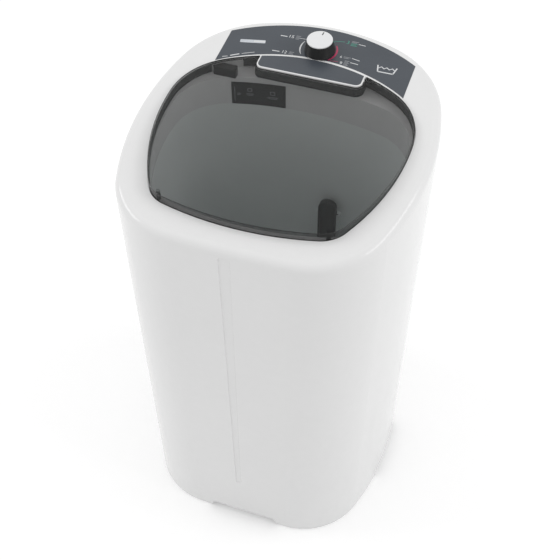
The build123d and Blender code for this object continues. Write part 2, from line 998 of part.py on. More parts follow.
with BuildPart() as tub:
    add(tub_volume(-tub_wall))
    add(ring(well_radius + tub_wall, well_under, tub_floor, centre=(0, tub_centre)))
    add(tub_volume(0), mode=Mode.SUBTRACT)
    add(
        ring(well_radius, well_foot, tub_floor + 1, centre=(0, tub_centre)), mode=Mode.SUBTRACT
    )
    add(
        ring(drain_radius + tub_wall, tub_floor - strainer_seat - tub_wall, tub_floor, centre=drain)
    )
    add(
        ring(drain_radius + hole_clearance, tub_floor - strainer_seat, tub_floor + 1, centre=drain),
        mode=Mode.SUBTRACT,
    )
    pipe_seat = pipe_radius + thread_fit
    add(ring(pipe_seat, tub_floor - drain_radius, tub_floor, centre=drain), mode=Mode.SUBTRACT)
    add(
        ring(housing_hub_radius + hole_clearance, well_under - 1, tub_floor, centre=(0, tub_centre)),
        mode=Mode.SUBTRACT,
    )
    add(column(ring_face(tub_form, -tub_flange, 0), collar_plane.offset(-tub_wall), collar_plane))
    add(rails.part)
    for place in housing_bolt_places(well_under):
        add(rod(bolt_radius + thread_fit, place, (0, 0, 1), tub_floor), mode=Mode.SUBTRACT)
    with Locations(*tub_screw_places(collar_foot)):
        Cylinder(screw_radius + hole_clearance, 4 * tub_wall, mode=Mode.SUBTRACT)
finish(tub, "tub")

# Strainer plate in the drain's seat
with BuildPart() as drain_strainer:
    with BuildSketch(Plane.XY.offset(tub_floor - strainer_seat)):
        with Locations(drain):
            Circle(drain_radius)
            with PolarLocations(strainer_hole_circle, strainer_hole_count):
                Circle(strainer_hole_radius, mode=Mode.SUBTRACT)
            Circle(strainer_hole_radius, mode=Mode.SUBTRACT)
    extrude(amount=strainer_thickness)
finish(drain_strainer, "drain_strainer")

# Drain pipe: down from the tub, back along the side and out through the back wall
pipe_top = tub_floor - strainer_seat
with BuildPart() as drain_pipe:
    with BuildLine() as pipe_path:
        FilletPolyline(
            (drain_x, drain_y, pipe_top),
            (drain_x, drain_y, outlet_height),
            (drain_x, outlet_face - 3 * pipe_bend, outlet_height),
            (outlet_x, outlet_face - 2 * pipe_bend, outlet_height),
            (outlet_x, outlet_face - outlet_inset, outlet_height),
            radius=pipe_bend,
        )
    with BuildSketch(Plane(origin=pipe_path.line @ 0, z_dir=pipe_path.line % 0)):
        Circle(pipe_radius)
        Circle(pipe_bore, mode=Mode.SUBTRACT)
    sweep()
finish(drain_pipe, "drain_pipe")

# Outlet spigot with a flange on its seat and a neck that holds the pipe
with BuildPart() as drain_outlet:
    seat = (outlet_x, outlet_face, outlet_height)
    add(rod(outlet_radius + union_flange, seat, outward, union_flange))
    add(rod(outlet_radius, seat, outward, union_flange + outlet_length))
    add(rod(outlet_radius, seat, inward, wall + lock_nut))
    add(rod(pipe_bore - thread_fit, seat, inward, outlet_inset + tube_sleeve))
    way = (outlet_x, back_edge, outlet_height)
    add(rod(outlet_bore - stub_wall, way, inward, 4 * pipe_bend), mode=Mode.SUBTRACT)
finish(drain_outlet, "drain_outlet")


def hex_nut(radius, bore, face, direction, height):
    """Six-sided nut from a face along a direction."""
    with BuildPart() as nut:
        with BuildSketch(Plane(origin=face, z_dir=direction)):
            RegularPolygon(radius, 6)
            Circle(bore, mode=Mode.SUBTRACT)
        extrude(amount=height)
    return nut.part


# Pulsator: dished disc with six rounded vanes and a domed cap over its screw
tub_at = (0, tub_centre)
pulsator_radius = well_radius - pulsator_gap
pulsator_foot = well_foot + pulsator_gap
crown_top = pulsator_foot + pulsator_crown
vane_foot_radius = pulsator_radius - pulsator_gap
vane_plane = Plane(origin=(0, tub_centre, 0), x_dir=(1, 0, 0), z_dir=(0, -1, 0))

with BuildPart() as vane:
    with BuildSketch(vane_plane):
        with BuildLine():
            low = (vane_foot_radius, pulsator_foot + pulsator_rim)
            high = (vane_root_radius, crown_top - pulsator_wall)
            swell = (vane_swell_radius, pulsator_foot + pulsator_rim + vane_height)
            ThreePointArc(low, swell, high)
            Line(high, (vane_root_radius, pulsator_foot + pulsator_rim))
            Line((vane_root_radius, pulsator_foot + pulsator_rim), low)
        make_face()
    extrude(amount=vane_thickness / 2, both=True)
    fillet(
        vane.faces().filter_by(GeomType.CYLINDER).edges().filter_by(GeomType.CIRCLE),
        vane_round,
    )

with BuildPart() as pulsator:
    with BuildSketch(vane_plane):
        with BuildLine():
            inner = pulsator_radius - pulsator_wall
            under = pulsator_foot + pulsator_rim - pulsator_wall
            rim_top = (pulsator_radius, pulsator_foot + pulsator_rim)
            Polyline(
                (shaft_radius + seat_fit, pulsator_foot),
                (pulsator_hub_radius, pulsator_foot),
                (pulsator_hub_radius, under),
                (inner, under),
                (inner, pulsator_foot),
                (pulsator_radius, pulsator_foot),
                rim_top,
            )
            dish = JernArc(rim_top, (-1, dish_rise), dish_radius, -dish_turn)
            Line(dish @ 1, (crown_radius, crown_top - crown_bevel))
            Line((crown_radius, crown_top - crown_bevel), (crown_radius - crown_bevel, crown_top))
            Line((crown_radius - crown_bevel, crown_top), (shaft_radius + seat_fit, crown_top))
            Line((shaft_radius + seat_fit, crown_top), (shaft_radius + seat_fit, pulsator_foot))
        make_face()
    revolve(axis=spin_axis)
    for turn in range(vane_count):
        add(vane.part.rotate(spin_axis, turn * 360 / vane_count))
finish(pulsator, "pulsator")

with BuildPart() as pulsator_cap:
    cap_foot = crown_top + thread_fit
    add(ring(cap_radius, cap_foot, cap_foot + cap_height, centre=tub_at))
    fillet(pulsator_cap.edges().filter_by(GeomType.CIRCLE).sort_by(Axis.Z)[-1], cap_round)
    inner_top = cap_foot + cap_height - cap_wall
    add(ring(cap_radius - cap_wall, cap_foot, inner_top - cap_wall, centre=tub_at), mode=Mode.SUBTRACT)
    add(ring(cap_radius - cap_round, cap_foot, inner_top, centre=tub_at), mode=Mode.SUBTRACT)
finish(pulsator_cap, "pulsator_cap")

with BuildPart() as pulsator_screw:
    with BuildSketch(Plane.XY.offset(crown_top)):
        with Locations(tub_at):
            Circle(wide_head_radius)
    extrude(amount=bolt_head)
    add(rod(bolt_radius, (0, tub_centre, crown_top), (0, 0, -1), 4 * bolt_head))
finish(pulsator_screw, "pulsator_screw")

# Drive shaft with its bearings and seal in a housing bolted under the tub
housing_top = well_foot + housing_nose
housing_foot = pulley_height + large_pulley_width / 2 + pulley_clearance
upper_seat = housing_top - seal_length - bearing_length
shaft_foot = pulley_height - large_pulley_width / 2 - shaft_end
with BuildPart() as drive_shaft:
    add(ring(shaft_radius, shaft_foot, crown_top, centre=tub_at))
    chamfer(drive_shaft.edges().filter_by(GeomType.CIRCLE), 1)
    screw_hole = (0, tub_centre, crown_top)
    add(rod(bolt_radius + thread_fit, screw_hole, (0, 0, -1), 5 * bolt_head), mode=Mode.SUBTRACT)
finish(drive_shaft, "drive_shaft")

with BuildPart() as housing_gusset:
    with BuildSketch(vane_plane):
        Polygon(
            (housing_hub_radius - housing_rib_root, housing_foot + housing_rib_lift),
            (housing_hub_radius, housing_foot + housing_rib_lift),
            (housing_flange_radius - housing_rib_margin, well_under - housing_flange),
            (housing_hub_radius - housing_rib_root, well_under - housing_flange),
            align=None,
        )
    extrude(amount=housing_rib / 2, both=True)

with BuildPart() as bearing_housing:
    add(ring(housing_hub_radius, housing_foot, housing_top, centre=tub_at))
    add(ring(housing_flange_radius, well_under - housing_flange, well_under, centre=tub_at))
    for turn in range(housing_bolt_count):
        add(housing_gusset.part.rotate(spin_axis, turn * 360 / housing_bolt_count))
    seat_radius = bearing_radius + seat_fit
    bore = shaft_radius + housing_bore_gap
    add(ring(bore, housing_foot, housing_top, centre=tub_at), mode=Mode.SUBTRACT)
    add(ring(seat_radius, housing_foot, housing_foot + bearing_length, centre=tub_at), mode=Mode.SUBTRACT)
    add(ring(seat_radius, upper_seat, housing_top, centre=tub_at), mode=Mode.SUBTRACT)
    for place in housing_bolt_places(well_under):
        add(rod(bolt_radius + hole_clearance, place, (0, 0, -1), 2 * housing_flange), mode=Mode.SUBTRACT)
finish(bearing_housing, "bearing_housing")


def bearing(foot):
    """Ball bearing as one ring with a shallow groove on each face for its shields."""
    with BuildPart() as piece:
        add(ring(bearing_radius, foot, foot + bearing_length, shaft_radius + running_fit, tub_at))
        for height in (foot, foot + bearing_length):
            groove = ring(
                bearing_radius - bearing_ring, height - bearing_groove, height + bearing_groove,
                shaft_radius + bearing_ring, tub_at,
            )
            add(groove, mode=Mode.SUBTRACT)
    return piece


upper_bearing = bearing(upper_seat)
finish(upper_bearing, "upper_bearing")
lower_bearing = bearing(housing_foot)
finish(lower_bearing, "lower_bearing")

with BuildPart() as shaft_seal:
    add(ring(bearing_radius, housing_top - seal_length, housing_top, shaft_radius + running_fit, tub_at))
    fillet(shaft_seal.edges().filter_by(GeomType.CIRCLE).group_by(Axis.Z)[-1], 1)
finish(shaft_seal, "shaft_seal")

with BuildPart() as housing_bolts:
    for x, y, z in housing_bolt_places(well_under - housing_flange):
        with Locations(Plane(origin=(x, y, z), z_dir=(0, 0, -1))):
            add(screw(bolt_radius, housing_flange + tub_wall, bolt_head_radius, bolt_head))
finish(housing_bolts, "housing_bolts")


def groove_points(radius, width):
    """Outer half section of a belt pulley, from its lower to its upper edge."""
    floor = radius - groove_depth
    groove = belt_width / 2 + belt_gap
    return [
        (radius, -width / 2),
        (radius, -groove - groove_slope),
        (floor, -groove),
        (floor, groove),
        (radius, groove + groove_slope),
        (radius, width / 2),
    ]


def pulley_plane(y):
    """Plane through a pulley's axis, with its origin in the middle of the belt."""
    return Plane(origin=(0, y, pulley_height), x_dir=(1, 0, 0), z_dir=(0, -1, 0))


with BuildPart() as large_pulley:
    half = large_pulley_width / 2
    rim = large_pulley_radius - groove_depth - pulley_rim / 2
    hub_top = half + pulley_clearance - belt_gap
    bore = shaft_radius + seat_fit
    with BuildSketch(pulley_plane(tub_centre)):
        with BuildLine():
            Polyline(
                (bore, -half),
                (pulley_hub_radius, -half),
                (pulley_hub_radius, -pulley_web / 2),
                (rim, -pulley_web / 2),
                (rim, -half),
                *groove_points(large_pulley_radius, large_pulley_width),
                (rim, half),
                (rim, pulley_web / 2),
                (pulley_hub_radius, pulley_web / 2),
                (pulley_hub_radius, hub_top),
                (bore, hub_top),
                close=True,
            )
        make_face()
    revolve(axis=spin_axis)
    for place in circle_places(pulley_hole_circle, pulley_hole_count, pulley_height, tub_centre):
        add(rod(pulley_hole_radius, place, (0, 0, 1), pulley_web), mode=Mode.SUBTRACT)
        add(rod(pulley_hole_radius, place, (0, 0, -1), pulley_web), mode=Mode.SUBTRACT)
finish(large_pulley, "large_pulley")

with BuildPart() as pulley_nut:
    nut_face = (0, tub_centre, pulley_height - large_pulley_width / 2)
    add(hex_nut(nut_radius, shaft_radius + thread_fit, nut_face, (0, 0, -1), nut_height))
finish(pulley_nut, "pulley_nut")

# Belt: loop round both grooves
large_line = large_pulley_radius - groove_depth + belt_gap
small_line = small_pulley_radius - groove_depth + belt_gap
with BuildPart() as drive_belt:
    for grow, mode in ((belt_thickness, Mode.ADD), (0, Mode.SUBTRACT)):
        with BuildSketch(Plane.XY.offset(pulley_height - belt_width / 2)):
            with Locations((0, tub_centre)):
                Circle(large_line + grow)
            with Locations((0, motor_y)):
                Circle(small_line + grow)
            make_hull()
        extrude(amount=belt_width, mode=mode)
finish(drive_belt, "drive_belt")

# Motor plate, hung on four spacers from the tub's floor
tub_under = tub_floor - tub_wall
with BuildPart() as motor_plate:
    with BuildSketch(Plane.XY.offset(plate_height)) as plate_face:
        plate_back = motor_y + motor_flange_radius + plate_margin
        Polygon(
            (-plate_front_half_width, plate_front),
            (plate_front_half_width, plate_front),
            (plate_front_half_width, hanger_front_y + 3 * plate_margin),
            (plate_back_half_width + 3 * plate_margin, hanger_back_y + 2 * plate_margin),
            (plate_back_half_width, capacitor_y + 5 * plate_margin),
            (plate_end_half_width, plate_back),
            (-plate_end_half_width, plate_back),
            (-plate_back_half_width, capacitor_y + 5 * plate_margin),
            (-plate_back_half_width - 3 * plate_margin, hanger_back_y + 2 * plate_margin),
            (-plate_front_half_width, hanger_front_y + 3 * plate_margin),
            align=None,
        )
        fillet(plate_face.vertices(), 2 * plate_margin)
        with Locations((0, motor_y)):
            Circle(motor_hub_radius + hole_clearance, mode=Mode.SUBTRACT)
        with Locations((0, (plate_front + motor_y - motor_flange_radius) / 2)):
            RectangleRounded(
                plate_window_length, plate_window_width, 2 * plate_margin, mode=Mode.SUBTRACT
            )
    extrude(amount=plate_thickness)
    for place in hanger_places(plate_top) + motor_bolt_places(plate_top) + clamp_places(plate_top):
        hole = rod(bolt_radius + hole_clearance, place, (0, 0, -1), 2 * plate_thickness)
        add(hole, mode=Mode.SUBTRACT)
finish(motor_plate, "motor_plate")

with BuildPart() as motor_hangers:
    for x, y, z in hanger_places(plate_top):
        add(ring(hanger_radius, z, tub_under, bolt_radius + thread_fit, (x, y)))
finish(motor_hangers, "motor_hangers")

with BuildPart() as hanger_bolts:
    for x, y, z in hanger_places(plate_height):
        with Locations(Plane(origin=(x, y, z), z_dir=(0, 0, -1))):
            add(screw(bolt_radius, plate_thickness + 3 * hanger_radius, bolt_head_radius, bolt_head))
finish(hanger_bolts, "hanger_bolts")

# Motor: ribbed housing with a flange under the plate, end cover, rotor shaft, fan and pulley
motor_foot = plate_height - motor_height
motor_shaft_top = pulley_height + small_pulley_width / 2 + plate_margin
motor_at = (0, motor_y)
with BuildPart() as motor_housing:
    add(ring(motor_radius, motor_foot, plate_height, centre=motor_at))
    add(ring(motor_flange_radius, plate_height - motor_flange, plate_height, centre=motor_at))
    add(ring(motor_hub_radius, plate_height, plate_top, centre=motor_at))
    with BuildSketch(Plane.XY.offset(motor_foot + motor_cover_height / 2)):
        with Locations(motor_at):
            with PolarLocations(motor_radius, motor_rib_count):
                Rectangle(2 * motor_rib, motor_rib)
    extrude(amount=motor_height - motor_cover_height)
    add(
        ring(motor_radius - motor_wall, motor_foot, plate_height - motor_flange, centre=motor_at),
        mode=Mode.SUBTRACT,
    )
    add(
        ring(motor_shaft_radius + running_fit, motor_foot, plate_top, centre=motor_at),
        mode=Mode.SUBTRACT,
    )
    for place in motor_bolt_places(plate_height):
        add(rod(bolt_radius + thread_fit, place, (0, 0, -1), 2 * motor_flange), mode=Mode.SUBTRACT)
finish(motor_housing, "motor_housing")

with BuildPart() as motor_end_cover:
    add(ring(motor_radius, motor_foot - motor_cover_height, motor_foot, centre=motor_at))
    fillet(motor_end_cover.edges().filter_by(GeomType.CIRCLE).sort_by(Axis.Z)[0], motor_cover_height / 2)
    add(
        ring(
            motor_radius - motor_wall, motor_foot - motor_cover_height + motor_wall, motor_foot,
            centre=motor_at,
        ),
        mode=Mode.SUBTRACT,
    )
    add(
        ring(
            3 * motor_shaft_radius, motor_foot - motor_cover_height, motor_foot,
            motor_shaft_radius + running_fit, motor_at,
        )
    )
    add(
        ring(
            motor_shaft_radius + running_fit, motor_foot - motor_cover_height + motor_wall, motor_foot,
            centre=motor_at,
        ),
        mode=Mode.SUBTRACT,
    )
finish(motor_end_cover, "motor_end_cover")

shaft_low = motor_foot - motor_cover_height + motor_wall + belt_gap
with BuildPart() as motor_shaft:
    add(ring(motor_shaft_radius, shaft_low, motor_shaft_top, centre=motor_at))
    add(
        ring(
            motor_radius - motor_wall - rotor_gap, motor_foot + belt_gap,
            plate_height - motor_flange - rotor_gap, centre=motor_at,
        )
    )
finish(motor_shaft, "motor_shaft")

with BuildPart() as motor_fan:
    fan_foot = plate_top + fan_clearance
    add(ring(fan_radius, fan_foot, fan_foot + fan_disc, centre=motor_at))
    add(ring(fan_hub_radius, fan_foot, fan_foot + fan_height, centre=motor_at))
    with BuildSketch(Plane.XY.offset(fan_foot)):
        with Locations(motor_at):
            with PolarLocations(fan_blade_circle, fan_blade_count):
                Rectangle(fan_blade_length, fan_blade)
    extrude(amount=fan_height)
    bore = ring(motor_shaft_radius + seat_fit, fan_foot, fan_foot + fan_height, centre=motor_at)
    add(bore, mode=Mode.SUBTRACT)
finish(motor_fan, "motor_fan")

with BuildPart() as motor_pulley:
    bore = motor_shaft_radius + seat_fit
    with BuildSketch(pulley_plane(motor_y)):
        with BuildLine():
            Polyline(
                (bore, -small_pulley_width / 2),
                *groove_points(small_pulley_radius, small_pulley_width),
                (bore, small_pulley_width / 2),
                close=True,
            )
        make_face()
    revolve(axis=motor_axis)
finish(motor_pulley, "motor_pulley")

with BuildPart() as motor_bolts:
    for x, y, z in motor_bolt_places(plate_top):
        with Locations((x, y, z)):
            add(screw(bolt_radius, plate_thickness + motor_flange, bolt_head_radius, bolt_head))
finish(motor_bolts, "motor_bolts")

# Capacitor standing on the plate in its clamp
capacitor_at = (capacitor_x, capacitor_y)
with BuildPart() as capacitor:
    add(ring(capacitor_radius, plate_top, plate_top + capacitor_length, centre=capacitor_at))
    fillet(capacitor.edges().filter_by(GeomType.CIRCLE), capacitor_round)
    with BuildSketch(Plane.XY.offset(plate_top + capacitor_length)):
        with Locations(capacitor_at):
            with Locations((-terminal_x, 0), (terminal_x, 0)):
                Rectangle(terminal_thickness, terminal_width)
    extrude(amount=terminal_height)
finish(capacitor, "capacitor")

with BuildPart() as capacitor_clamp:
    inner = capacitor_radius + seat_fit
    clamp_foot = plate_top + clamp_lift
    add(ring(inner + clamp_thickness, clamp_foot, clamp_foot + clamp_height, inner, capacitor_at))
    for x, y, z in clamp_places(plate_top):
        with BuildSketch(Plane.XY.offset(plate_top)):
            with Locations((x, y)):
                Rectangle(clamp_tab, clamp_tab)
                Circle(bolt_radius + hole_clearance, mode=Mode.SUBTRACT)
        extrude(amount=clamp_thickness)
        link_y = y + math.copysign(clamp_link_reach, capacitor_y - y)
        with BuildSketch(Plane.XY.offset(plate_top)):
            with Locations((x, link_y)):
                Rectangle(2 * clamp_thickness, clamp_link)
        extrude(amount=clamp_lift + clamp_height)
    add(ring(inner, plate_top, plate_top + capacitor_length, centre=capacitor_at), mode=Mode.SUBTRACT)
finish(capacitor_clamp, "capacitor_clamp")

with BuildPart() as clamp_bolts:
    for x, y, z in clamp_places(plate_top + clamp_thickness):
        with Locations((x, y, z)):
            add(screw(bolt_radius, clamp_thickness + 2 * plate_thickness, bolt_head_radius, bolt_head))
finish(clamp_bolts, "clamp_bolts")

# Dark overlays on the panel and on the tongue
panel_centre = panel_back - panel_back_bow
with BuildSketch() as panel_face:
    with Locations((0, panel_centre)):
        Circle(panel_back_bow)
    Rectangle(2 * panel_half_width, 4 * panel_back, mode=Mode.INTERSECT)
    add(plan(lid_form, -lid_gap - bead_width), mode=Mode.SUBTRACT)
    with Locations((0, -panel_back)):
        Rectangle(4 * panel_half_width, 2 * panel_back, mode=Mode.SUBTRACT)
    with Locations((0, knob_y)):
        Circle(timer_collar_radius + hole_clearance, mode=Mode.SUBTRACT)
        with Locations((-timer_screw_x, 0), (timer_screw_x, 0)):
            Circle(screw_head_radius + hole_clearance, mode=Mode.SUBTRACT)

with BuildPart() as control_overlay:
    add(column(panel_face.sketch, deck(), deck(overlay)))
finish(control_overlay, "control_overlay")

with BuildPart() as badge_overlay:
    badge_face = tongue_face(-badge_inset, badge_inset)
    add(column(badge_face, lid_top(tongue_rise), lid_top(tongue_rise + overlay)))
finish(badge_overlay, "badge_overlay")

# Timer under the deck and the knob on its shaft
timer_top = -wall
with BuildPart() as timer_body:
    with BuildSketch(knob_plane(timer_top)):
        RectangleRounded(timer_width, timer_length, timer_corner)
    extrude(amount=-timer_depth)
    with BuildSketch(knob_plane(timer_top)):
        Circle(timer_collar_radius)
    extrude(amount=wall + overlay)
    with BuildSketch(knob_plane(overlay)):
        Circle(timer_shaft_radius + running_fit)
    extrude(amount=-timer_socket, mode=Mode.SUBTRACT)
    with Locations(*timer_screw_places()):
        Cylinder(screw_radius + thread_fit, 2 * (wall + screw_length), mode=Mode.SUBTRACT)
finish(timer_body, "timer_body")

with BuildPart() as timer_screws:
    with Locations(*timer_screw_places()):
        add(screw(screw_radius, wall + screw_length, screw_head_radius, screw_head))
finish(timer_screws, "timer_screws")

knob_foot = overlay + knob_clearance
knob_plate = knob_foot + knob_skirt_height
with BuildPart() as timer_shaft:
    with BuildSketch(knob_plane(overlay - timer_socket + knob_clearance)):
        Circle(timer_shaft_radius)
    extrude(amount=knob_plate - knob_wall - overlay + timer_socket - knob_clearance)
finish(timer_shaft, "timer_shaft")

with BuildPart() as knob_skirt:
    with BuildSketch(knob_plane(knob_foot)):
        Circle(knob_foot_radius)
    extrude(amount=knob_step)
    with BuildSketch(knob_plane(knob_foot + knob_step)):
        Circle(knob_radius)
    with BuildSketch(knob_plane(knob_plate)):
        Circle(knob_top_radius)
    loft(ruled=True)
    with BuildSketch(knob_plane(knob_foot)):
        Circle(knob_top_radius - knob_wall)
        Circle(knob_hub_radius, mode=Mode.SUBTRACT)
    extrude(amount=knob_skirt_height - knob_wall, mode=Mode.SUBTRACT)
    with BuildSketch(knob_plane(knob_foot)):
        Circle(timer_shaft_radius + seat_fit)
    extrude(amount=knob_skirt_height - knob_wall, mode=Mode.SUBTRACT)
finish(knob_skirt, "knob_skirt")

with BuildPart() as knob_cap:
    with BuildSketch(knob_plane(knob_plate)):
        Circle(knob_top_radius)
    extrude(amount=knob_cap_height)
    fillet(knob_cap.edges().filter_by(GeomType.CIRCLE).sort_by(Axis.Z)[-1], knob_cap_round)
finish(knob_cap, "knob_cap")

# Care plaque on the collar's back wall, bent with it
with BuildSketch() as plaque_face:
    add(ring_face(tub_form, 0, plaque_thickness))
    with Locations((plaque_x, tub_form.back)):
        Rectangle(plaque_length, 5 * tub_flange, mode=Mode.INTERSECT)

with BuildPart() as care_plaque:
    with BuildSketch(collar_plane.offset(plaque_lift)):
        add(plaque_face.sketch)
    extrude(amount=plaque_height)
finish(care_plaque, "care_plaque")

# Water inlet: spout on the ledge, riser, tube and union on the back
stub_radius = tube_bore - thread_fit
riser_low = spout_low - wall - sleeve_gap - tube_sleeve
with BuildSketch() as spout_face:
    with Locations((spout_x, (spout_front + spout_back) / 2)):
        Rectangle(spout_width, spout_back - spout_front)
    fillet(spout_face.vertices(), spout_corner)
    add(plan(lid_form, skirt_wall + spout_clearance), mode=Mode.INTERSECT)

with BuildSketch() as spout_hollow:
    with Locations((spout_x, (spout_front + spout_back) / 2)):
        Rectangle(spout_width - 2 * spout_wall, spout_back - spout_front - 2 * spout_wall)
    add(plan(lid_form, skirt_wall + spout_clearance + spout_wall), mode=Mode.INTERSECT)

with BuildSketch() as spout_mouth:
    add(spout_hollow.sketch)
    add(plan(tub_form), mode=Mode.INTERSECT)

with BuildPart() as inlet_spout:
    add(column(spout_face.sketch, ledge_top, ledge_top.offset(spout_height)))
    add(
        column(
            spout_hollow.sketch, ledge_top.offset(spout_wall), ledge_top.offset(spout_height - spout_wall)
        ),
        mode=Mode.SUBTRACT,
    )
    add(column(spout_mouth.sketch, ledge_bottom, ledge_top.offset(2 * spout_wall)), mode=Mode.SUBTRACT)
    riser = (spout_x, riser_y, riser_low)
    add(rod(stub_radius, riser, (0, 0, 1), spout_low + spout_wall - riser_low))
    add(rod(stub_radius - stub_wall, riser, (0, 0, 1), 3 * tube_sleeve), mode=Mode.SUBTRACT)
finish(inlet_spout, "inlet_spout")

nozzle_seat = (nozzle_x, nozzle_face, nozzle_height)
with BuildPart() as inlet_nozzle:
    add(rod(nozzle_radius + union_flange, nozzle_seat, outward, union_flange))
    add(rod(nozzle_radius, nozzle_seat, outward, union_flange + nozzle_length))
    add(rod(nozzle_neck, nozzle_seat, inward, wall + lock_nut))
    add(rod(stub_radius, nozzle_seat, inward, wall + lock_nut + tube_sleeve))
    nozzle_end = (nozzle_x, nozzle_face + union_flange + nozzle_length, nozzle_height)
    add(rod(nozzle_bore, nozzle_end, inward, nozzle_length), mode=Mode.SUBTRACT)
    add(rod(stub_radius - stub_wall, nozzle_end, inward, 4 * nozzle_length), mode=Mode.SUBTRACT)
finish(inlet_nozzle, "inlet_nozzle")

with BuildPart() as nozzle_nut:
    nut_seat = (nozzle_x, nozzle_face - wall, nozzle_height)
    add(hex_nut(lock_nut_radius, nozzle_neck + thread_fit, nut_seat, inward, lock_nut))
finish(nozzle_nut, "nozzle_nut")

tube_start = nozzle_face - wall - lock_nut
with BuildPart() as inlet_tube:
    with BuildLine() as tube_path:
        FilletPolyline(
            (nozzle_x, tube_start, nozzle_height),
            (nozzle_x, tube_run_y, nozzle_height),
            (spout_x, riser_y, nozzle_height),
            (spout_x, riser_y, riser_low + tube_sleeve),
            radius=tube_bend,
        )
    with BuildSketch(Plane(origin=tube_path.line @ 0, z_dir=tube_path.line % 0)):
        Circle(tube_radius)
        Circle(tube_bore, mode=Mode.SUBTRACT)
    sweep()
finish(inlet_tube, "inlet_tube")

with BuildPart() as outlet_nut:
    nut_seat = (outlet_x, outlet_face - wall, outlet_height)
    add(hex_nut(outlet_nut_radius, outlet_radius + thread_fit, nut_seat, inward, lock_nut))
finish(outlet_nut, "outlet_nut")

# Cord gland on the back, with a square neck in its seat
with BuildPart() as cord_gland:
    add(rod(gland_radius + union_flange, gland_seat, outward, union_flange))
    add(rod(gland_radius, gland_seat, outward, gland_length))
    fillet(cord_gland.edges().filter_by(GeomType.CIRCLE).sort_by(Axis.Y)[-1], gland_round)
    add(square_bar(gland_radius, gland_seat, inward, wall))
    add(rod(gland_radius, gland_back, inward, lock_nut))
    gland_end = (gland_x, gland_face + gland_length, gland_height)
    add(rod(cord_radius, gland_end, inward, 4 * gland_length), mode=Mode.SUBTRACT)
finish(cord_gland, "cord_gland")

with BuildPart() as gland_nut:
    add(hex_nut(lock_nut_radius, gland_radius + thread_fit, gland_back, inward, lock_nut))
finish(gland_nut, "gland_nut")

# Lint filter: flanged frame in the rails, mesh in its window, arched cap on top
filter_back = rail_y - rail_clearance
frame_top = filter_top - filter_cap
with BuildPart() as filter_frame:
    with BuildSketch(Plane.XY.offset(filter_foot)):
        with Locations((filter_x, filter_back)):
            Rectangle(
                filter_width + 2 * filter_flange,
                filter_flange_thickness,
                align=(Align.CENTER, Align.MAX),
            )
            Rectangle(filter_width, filter_depth, align=(Align.CENTER, Align.MAX))
    extrude(amount=frame_top - filter_foot)
    fillet(
        filter_frame.edges().filter_by(Axis.Z).group_by(Axis.Y)[0], filter_border / 2
    )
    with BuildSketch(Plane.XZ.offset(-filter_back)):
        with Locations((filter_x, (filter_foot + frame_top) / 2)):
            Rectangle(
                filter_width - 2 * filter_border, frame_top - filter_foot - 2 * filter_border
            )
    extrude(amount=filter_depth, mode=Mode.SUBTRACT)
finish(filter_frame, "filter_frame")

with BuildPart() as filter_mesh:
    with BuildSketch(Plane.XZ.offset(-filter_back + filter_depth / 2)):
        with Locations((filter_x, (filter_foot + frame_top) / 2)):
            Rectangle(
                filter_width - 2 * filter_border, frame_top - filter_foot - 2 * filter_border
            )
    extrude(amount=mesh_thickness)
finish(filter_mesh, "filter_mesh")

with BuildPart() as filter_crown:
    with BuildSketch(Plane.XZ.offset(-filter_back)):
        with BuildLine():
            left = filter_x - filter_width / 2
            right = filter_x + filter_width / 2
            shoulder = frame_top + filter_shoulder
            Polyline((left, shoulder), (left, frame_top), (right, frame_top), (right, shoulder))
            ThreePointArc((right, shoulder), (filter_x, filter_top), (left, shoulder))
        make_face()
    extrude(amount=filter_depth)
    fillet(filter_crown.faces().sort_by(Axis.Y)[0].edges().sort_by(Axis.Z)[1:], filter_border / 2)
finish(filter_crown, "filter_cap")

# Base plate screwed under the flange, with slots for air
base_top = flange_height
with BuildPart() as base_cover:
    with BuildSketch(Plane.XY.offset(base_top - base_thickness)):
        add(plan(foot_form, sole_reach + base_clearance))
        with Locations((0, arch_y)):
            with GridLocations(vent_spread, vent_pitch, 2, vent_count):
                SlotOverall(vent_length, vent_width, mode=Mode.SUBTRACT)
    extrude(amount=base_thickness)
    with Locations(*base_screw_places(base_top)):
        Cylinder(screw_radius + hole_clearance, 4 * base_thickness, mode=Mode.SUBTRACT)
finish(base_cover, "base_cover")

with BuildPart() as base_screws:
    with Locations(*base_screw_places(base_top - base_thickness)):
        add(screw(screw_radius, base_thickness + flange_thickness, screw_head_radius, screw_head))
finish(base_screws, "base_screws")

# Service cover, flush in the back wall, with louvres
with BuildPart() as rear_cover:
    add(wall_band(0, wall))
    add(cover_block(-cover_clearance), mode=Mode.INTERSECT)
    with BuildSketch(Plane.XZ.offset(-back_edge / 2)):
        for i in range(louvre_count):
            height = louvre_foot + i * louvre_pitch
            with Locations((-louvre_x, height), (louvre_x, height)):
                SlotOverall(louvre_length, louvre_width)
    extrude(amount=-back_edge, mode=Mode.SUBTRACT)
    with Locations(*cover_screw_places()):
        Cylinder(screw_radius + hole_clearance, 4 * wall, mode=Mode.SUBTRACT)
finish(rear_cover, "rear_cover")

with BuildPart() as cover_screws:
    cover_screw_length = wall + cover_lip_thickness + screw_proud
    for place in cover_screw_places():
        with Locations(place.offset(screw_proud)):
            add(screw(screw_radius, cover_screw_length, screw_head_radius, screw_head))
finish(cover_screws, "cover_screws")

with BuildPart() as tub_screws:
    with Locations(*tub_screw_places(collar_foot - tub_wall)):
        add(screw(screw_radius, tub_wall + wall, screw_head_radius, screw_head))
finish(tub_screws, "tub_screws")
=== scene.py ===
"""Semi-automatic washing machine.

Finishes for its solids, the marks of its panel and plaque, and its screw heads, with floor, light and camera.
"""

import bpy
import numpy as np
from mathutils import Matrix, Vector


